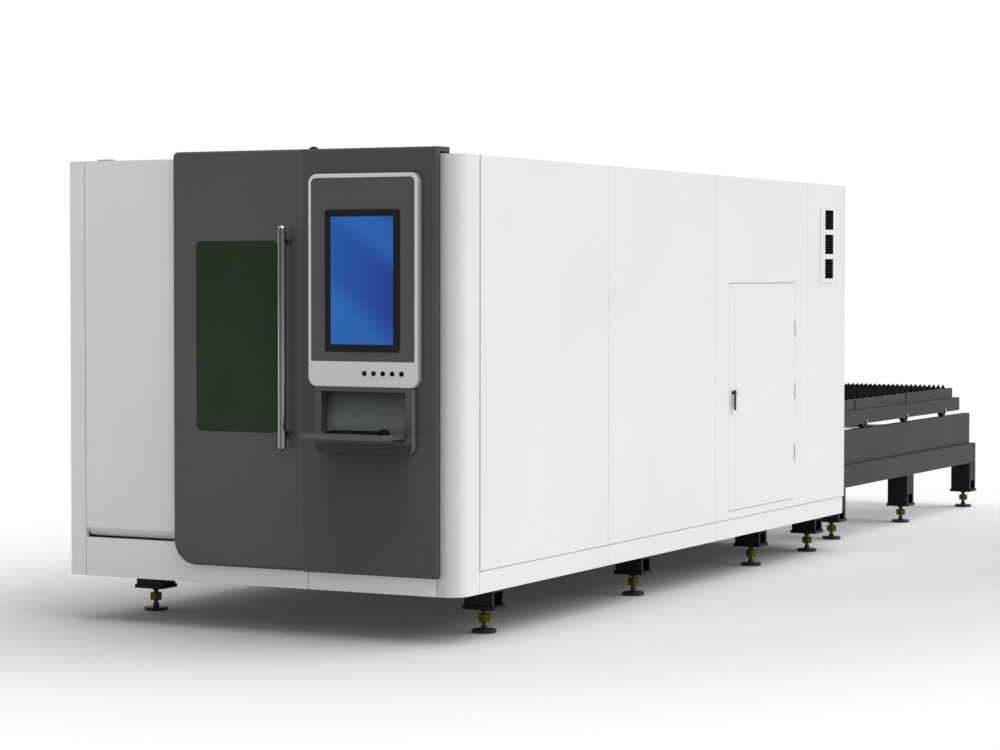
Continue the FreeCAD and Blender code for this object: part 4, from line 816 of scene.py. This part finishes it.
def shelf_housing():
    """The surround of the shelf's recess, and the liner and the walls inside it."""
    low, high = HOUSING
    near, far = (low.x + 0.033, RECESS_BOTTOM), (high.x - 0.038, RECESS_TOP)
    floor, front, margin, sleeve = low.y + 0.060, low.y + 0.0045, 0.003, 0.0006
    form, liner, walls = Form(), Form(), Form()
    moulding(form, ((low.x, low.z), (high.x, high.z), (0.040, 0.040, 0.0005, 0.0005)),
             (near, far, 0.0005), [], low.y, low.y + 0.028, floor, 0.004)
    form.piece("shelf_housing", "dark_panel", "machine", "keyboard_housing", flats=True)
    liner.block((near[0] - margin, floor - sleeve, near[1] - margin),
                (far[0] + margin, floor + margin, far[1] + margin))
    liner.piece("recess_liner", "dark_panel", "machine", "keyboard_housing")
    walls.skin([layer(rounded(near, far, 0.0005, inset=part), "Y", y)
                for part, y in ((-0.0002, front), (sleeve, front), (sleeve, floor - sleeve))])
    walls.piece("recess_walls", "dark_panel", "machine", "keyboard_housing")


def buttons():
    """Push buttons with a dished face."""
    for node in BUTTONS:
        low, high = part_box(node)
        x, _, z = middle(low, high)
        radius = (high.x - low.x) / 2
        form = Form()
        form.lathe([(0, low.y + 0.0012), (radius * 0.55, low.y + 0.0009), (radius * 0.8, low.y),
                    (radius * 0.94, low.y + 0.0005), (radius, low.y + 0.0018),
                    (radius, high.y)], (x, 0, z), "Y")
        form.piece(node + "_cap", "button_face", node + "_cap", node, angle=50)


KEYBOARD = ("keyboard_shelf", "keyboard_and_mouse")     # body and node
WIDE_KEYS = {(0, 4): 6, (1, 12): 2, (2, 12): 2}         # (row, column): columns taken


def keyboard():
    """A flat keyboard with its rows of keys, and a mouse beside it."""
    (low, high), mouse_box = solids("keyboard_and_mouse")
    base, keys = Form(), Form()
    rows, columns, rim, gap, top = 6, 17, 0.004, 0.0008, low.z + 0.0055
    base.slab(rounded((low.x, low.y), (high.x, high.y), 0.006), "Z", low.z, top)
    base.piece("keyboard_base", "key_plastic", *KEYBOARD, edge=0.0008)
    pitch_x = (high.x - low.x - 2 * rim) / columns
    pitch_y = (high.y - low.y - 2 * rim) / rows
    for row in range(rows):
        column = 0
        while column < columns:
            wide = WIDE_KEYS.get((row, column), 1)
            left, front = low.x + rim + column * pitch_x, low.y + rim + row * pitch_y
            key_cap(keys, (left + gap, front + gap),
                    (left + wide * pitch_x - gap, front + pitch_y - gap), top, high.z)
            column += wide
    keys.piece("keyboard_caps", "key_plastic", *KEYBOARD, angle=20)
    mouse(*mouse_box)


def key_cap(form, near, far, low, high):
    """A key: four sloping sides and a slightly smaller top."""
    taper = 0.0016
    made = form.skin([layer(rectangle(near, far, inset), "Z", z) for inset, z in
                      ((0, low), (taper * 0.5, low + (high - low) * 0.75), (taper, high))])
    form.mesh.faces.new(made[0])
    form.mesh.faces.new(made[-1])


def mouse(low, high):
    """A rounded shell that slopes down to the front."""
    x, y, _ = middle(low, high)
    half_x, half_y = (high.x - low.x) / 2, (high.y - low.y) / 2
    power, slope = 2.6, 0.14
    rows = [[Vector((x, y, low.z))]]
    for share, height in ((0.90, 0.0), (0.97, 0.06), (1.0, 0.22), (0.97, 0.48), (0.88, 0.70),
                          (0.72, 0.86), (0.48, 0.96), (0.24, 0.995)):
        row = []
        for across, along in circle(40):
            swell = (abs(across) ** power + abs(along) ** power) ** (-1 / power)
            tilt = 1 - slope * max(0.0, -along * share)
            row.append(Vector((x + half_x * share * swell * across,
                               y + half_y * share * swell * along,
                               low.z + (high.z - low.z) * height * tilt)))
        rows.append(row)
    rows.append([Vector((x, y, high.z))])
    form = Form()
    form.skin(rows)
    form.piece("mouse", "key_plastic", *KEYBOARD, angle=50)


# -------- table and pallet

TOOTH = 0.028           # height of the slats' teeth
TOOTH_PITCH = 0.0337
TIP = 0.0014            # half the flat on a tooth's tip
BURN = 0.0008           # the most that the flame has taken off a tip
CHAIN_PITCH = 0.0254
SPROCKET_TEETH = 15
FINS = 32               # round the motor


def wheels():
    """Turned wheels: a rim, a dished web, a hub, and the stub axle's washer and end."""
    for i in range(1, 5):
        node, body = "pallet_wheels_%d" % i, "wheel_pair_%d" % i
        form, ends = Form(), Form()
        for low, high in solids(node):
            side = 1 if low.x > 0 else -1
            _, y, z = middle(low, high)
            centre = (low.x if side > 0 else high.x, y, z)
            radius = (high.z - low.z) / 2
            form.lathe([(0.019, 0.0), (0.020, 0.001), (0.020, 0.007), (0.036, 0.007),
                        (0.0385, 0.001), (radius - 0.0015, 0.0), (radius, 0.0015),
                        (radius, 0.0345), (radius - 0.0015, 0.036), (0.0385, 0.035),
                        (0.036, 0.029), (0.020, 0.029), (0.0185, 0.036), (0.012, 0.036),
                        (0.012, 0.0472), (0.0165, 0.0472), (0.0165, 0.0490)],
                       centre, "X", steps=56, side=side)
            ends.lathe([(0.0100, 0.0480), (0.0098, 0.0510), (0.0065, 0.0519), (0, 0.052)],
                       centre, "X", side=side)
        form.piece("pallet_wheels_turned_%d" % i, "wheel_steel", body, node)
        ends.piece("axle_ends_%d" % i, "steel", body, node)


def slats():
    """Flame-cut strips: a row of sharp teeth over a plain web."""
    form = Form()
    for number, (low, high) in enumerate(solids("slats")):
        count = round((high.x - low.x) / TOOTH_PITCH)
        pitch = (high.x - low.x) / count
        root = high.z - TOOTH
        loop = [(low.x, low.z), (high.x, low.z)]
        for i in reversed(range(count)):
            top = high.z - BURN * (1 + sin(7.3 * i + 2.1 * number)) / 2
            left = low.x + i * pitch
            loop += [(left + pitch, root), (left + pitch / 2 + TIP, top),
                     (left + pitch / 2 - TIP, top)]
        loop.append((low.x, root))
        form.slab(loop, "Y", low.y, high.y)
    form.piece("slats_cut", "slat_steel", "pallet", "slats")


def vent_screws():
    """Six small screw heads on the rim of the vent plate."""
    low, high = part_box("vent_grille")
    inset = 0.009
    form = Form()
    for y in (low.y + inset, high.y - inset):
        for z in (low.z + inset, (low.z + high.z) / 2, high.z - inset):
            form.lathe([(0.0028, 0), (0.0026, 0.0010), (0.0014, 0.0015), (0.0010, 0.0010)],
                       (high.x - 0.0004, y, z), "X", 16)
    form.piece("vent_screws", "foot_steel", "machine")


def holder_seams():
    """Black strips over the seams of the comb rails, painted shadow that stands in for the dark of
    the gaps.
    """
    form = Form()
    rails = sorted(solids("slat_holders"), key=lambda pair: (pair[0].x > 0, pair[0].y))
    for (low, high), (after, _) in zip(rails, rails[1:]):
        if (low.x > 0) == (after.x > 0):
            form.block((low.x - 0.0004, high.y - 0.007, low.z + 0.001),
                       (high.x + 0.0004, after.y + 0.007, high.z - 0.001))
    form.piece("holder_seams", "leg_black", "pallet")


def holder_screws():
    """Three flat screw heads on the outside of each comb rail."""
    form = Form()
    for low, high in solids("slat_holders"):
        side = 1 if low.x > 0 else -1
        face = high.x if side > 0 else low.x
        for part in (1 / 6, 1 / 2, 5 / 6):
            form.lathe([(0.0062, 0), (0.0062, 0.0010), (0.0045, 0.0026), (0.0022, 0.0030),
                        (0.0022, 0.0018)],
                       (face, low.y + (high.y - low.y) * part, low.z + 0.026), "X", 18, side)
    form.piece("holder_screws", "foot_steel", "pallet")


def chains():
    """Roller chains round the two shafts: rollers, and plates inside and outside by turns."""
    form = Form()
    (_, start, height), (_, end, _) = [middle(*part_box(name))
                                       for name in ("drive_shaft", "idler_shaft")]
    run = end - start
    for low, high in solids("drive_chains"):
        centre = (low.x + high.x) / 2
        radius = (high.z - low.z) / 2 - 0.006
        length = 2 * run + 2 * pi * radius
        count = round(length / CHAIN_PITCH / 2) * 2

        def bent(shaft, turn):
            return Vector((shaft + radius * cos(turn), height + radius * sin(turn)))

        def place(distance):
            """The Y and Z of a spot on the loop, from the top of the drive shaft on."""
            distance %= length
            if distance < run:
                return Vector((start + distance, height + radius))
            distance -= run
            if distance < pi * radius:
                return bent(end, pi / 2 - distance / radius)
            distance -= pi * radius
            if distance < run:
                return Vector((end - distance, height - radius))
            return bent(start, -pi / 2 - (distance - run) / radius)

        for i in range(count):
            first, second = place(length * i / count), place(length * (i + 1) / count)
            form.lathe([(0.0032, -0.0068), (0.0032, -0.0042), (0.0046, -0.0042),
                        (0.0046, 0.0042), (0.0032, 0.0042), (0.0032, 0.0068)],
                       (centre, first.x, first.y), "X", steps=8)
            reach = (second - first).normalized()
            across = Vector((-reach.y, reach.x))
            loop = []
            for spot, way in ((first, -1), (second, 1)):
                for turn in (-75, -25, 25, 75):
                    angle = radians(turn)
                    step = way * (reach * cos(angle) + across * sin(angle)) * 0.0056
                    loop.append(tuple(spot + step))
            near, far = (0.0052, 0.0066) if i % 2 else (0.0036, 0.0050)
            form.slab(loop, "X", centre + near, centre + far)
            form.slab(loop, "X", centre - far, centre - near)
    form.piece("drive_chains_linked", "foot_steel", "machine", "drive_chains")


def shafts():
    """The chain shafts, each with a toothed sprocket near both ends."""
    chain_lines = [(low.x + high.x) / 2 for low, high in solids("drive_chains")]
    for name, body in (("drive_shaft", "pallet_drive_shaft"),
                       ("idler_shaft", "pallet_idler_shaft")):
        low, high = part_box(name)
        _, y, z = middle(low, high)
        tip, half = (high.z - low.z) / 2, 0.0028
        form = Form()
        form.lathe([(0.0185, low.x), (0.0199, low.x + 0.0015), (0.0199, high.x - 0.0015),
                    (0.0185, high.x)], (0, y, z), "X")
        tooth = ((0.08, tip), (0.30, tip - 0.0065), (0.50, tip - 0.0075), (0.70, tip - 0.0065),
                 (0.92, tip))
        for centre in chain_lines:
            form.slab(toothed(SPROCKET_TEETH, tooth, (y, z)), "X", centre - half, centre + half)
            form.lathe([(0.033, -0.008), (0.034, -0.006), (0.034, 0.006), (0.033, 0.008)],
                       (centre, y, z), "X")
        form.piece(name + "_turned", "steel", body, name)


def motor():
    """The gearbox and its finned motor, with a fan cover at the far end."""
    low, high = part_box("drive_motor")
    shaft = middle(*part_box("drive_shaft"))[2]
    x, back, radius = (low.x + high.x) / 2, low.y + 0.130, (high.x - low.x) / 2
    gearbox, parts = Form(), Form()
    gearbox.slab(rounded((low.x, low.y), (high.x, back), 0.010), "Z", low.z, high.z)
    gearbox.piece("gearbox", "bed_paint", "machine", "drive_motor", edge=0.003)
    parts.lathe([(radius, 0), (radius, 0.012), (0.045, 0.016), (0.045, 0.022)],
                (x, back, shaft), "Y")
    barrel, outer = 0.050, radius - 0.002
    fin = ((0.0, barrel), (0.42, barrel), (0.45, outer), (0.62, outer), (0.65, barrel))
    parts.slab(toothed(FINS, fin, (x, shaft)), "Y", back + 0.020, back + 0.176)
    end = high.y - back
    parts.lathe([(radius - 0.001, 0.176), (radius - 0.001, end - 0.012),
                 (radius - 0.008, end - 0.002), (0.030, end), (0.028, end - 0.004)],
                (x, back, shaft), "Y")
    parts.piece("motor_casing", "bed_paint", "machine", "drive_motor")


for name, thing in NODES.items():
    dress(thing, SLOTS[name])
    soften(thing, EDGES.get(name, PLAIN_EDGE))

for build in (feet, nuts, door_handle, door_seal, corner_seam, window_gasket, latch, eyes,
              control_frame, shelf_housing, buttons, keyboard, wheels, slats, holder_screws,
              holder_seams, vent_screws, chains, shafts, motor):
    build()


# -------- floor, light and camera

FLOOR_RANGE = (-12.0, 6.0)      # metres along the slant in which the floor's tone changes
# Painted light and shade on the floor along the slant: darkest in front of and to the right of the
# machine, lightest to its left and behind it.
FLOOR_PAINTED_LIGHT = [(-12.0, 0.585), (-8.0, 0.60), (-6.5, 0.61), (-5.5, 0.57), (-4.5, 0.555),
               (-3.3, 0.58), (-2.2, 0.60), (-1.0, 0.64), (0.2, 0.70), (2.0, 0.77), (4.0, 0.83)]
FLOOR_FADE = (4.0, 7.3)         # where the floor goes over into the white backdrop
CAMERA = (6.838, -14.869, 1.694)
LENS, SENSOR = 97.38, 36        # millimetres
YAW, DOWN, ROLL = 27.288, 2.124, 0.065      # degrees


def build_floor():
    """A pale floor with painted light and shade in its slanted tone and a faint glow of its own
    that lifts its shadows; it fades to white away from the machine.
    """
    bpy.ops.mesh.primitive_plane_add(size=400)
    floor = bpy.context.object
    floor.name = "floor"
    # Painted light: the floor's faint even glow lifts the shadows under the machine.
    made = Finish("pale_floor_painted_light", Roughness=0.8, Specular_IOR_Level=0.2, Emission_Strength=0.025,
                  Emission_Color=(1, 1, 1, 1))
    slant = made.node("ShaderNodeVectorMath", operation="DOT_PRODUCT")
    slant.inputs[1].default_value = (-2, 1, 0)
    made.link(made.place, slant.inputs[0])
    near, far = FLOOR_RANGE
    tone = made.ramp(made.share(slant.outputs["Value"], near, far),
                     [((spot - near) / (far - near), value) for spot, value in FLOOR_PAINTED_LIGHT])
    made.colour(made.mixed(made.cloudy(0.8, 0.0, 0.03), tone, 0.3))

    oval = made.node("ShaderNodeMapping", {"Scale": (1.5, 1, 1)})
    made.link(made.place, oval.inputs["Vector"])
    away = made.node("ShaderNodeVectorMath", operation="LENGTH")
    made.link(oval.outputs[0], away.inputs[0])
    fade = made.share(away.outputs["Value"], *FLOOR_FADE, interpolation_type="SMOOTHSTEP")
    path = made.node("ShaderNodeLightPath").outputs
    seen = made.calculate("MAXIMUM", path["Is Camera Ray"], path["Is Glossy Ray"])
    white = made.node("ShaderNodeEmission")
    made.blend(made.calculate("MULTIPLY", fade, seen), made.shader.outputs[0],
               white.outputs[0], "Material Output")
    floor.data.materials.append(made.material)


def build_sky():
    """Even studio light from all sides, in front of a white backdrop."""
    world = bpy.data.worlds.new("studio")
    world.use_nodes = True
    SCENE.world = world
    sky = Nodes(world.node_tree)
    light, backdrop = sky.tree.nodes["Background"], sky.node("ShaderNodeBackground")
    for shader, strength in ((light, 0.53), (backdrop, 1.0)):
        shader.inputs["Color"].default_value = (1, 1, 1, 1)
        shader.inputs["Strength"].default_value = strength
    path = sky.node("ShaderNodeLightPath").outputs
    seen = sky.calculate("MAXIMUM", path["Is Camera Ray"], path["Is Transmission Ray"])
    sky.blend(seen, light.outputs[0], backdrop.outputs[0], "World Output")


def sun(name, strength, towards, spread):
    """A far soft lamp whose light travels towards the given direction."""
    data = bpy.data.lights.new(name, "SUN")
    data.energy = strength
    data.angle = radians(spread)
    lamp = bpy.data.objects.new(name, data)
    lamp.rotation_mode = "QUATERNION"
    lamp.rotation_quaternion = Vector((0, 0, -1)).rotation_difference(Vector(towards))
    SCENE.collection.objects.link(lamp)


def build_camera():
    """The photo's point of view."""
    data = bpy.data.cameras.new("camera")
    data.sensor_width = SENSOR
    data.lens = LENS
    data.clip_end = 1000
    camera = bpy.data.objects.new("camera", data)
    place = Matrix.Translation(CAMERA)
    for degrees, axis in ((YAW, "Z"), (90 - DOWN, "X"), (ROLL, "Z")):
        place @= Matrix.Rotation(radians(degrees), 4, axis)
    camera.matrix_world = place
    SCENE.collection.objects.link(camera)
    SCENE.camera = camera


build_floor()
build_sky()
sun("key_light", 2.5, (-0.5, -0.2, -0.85), 80)
build_camera()
SCENE.view_settings.view_transform = "Standard"
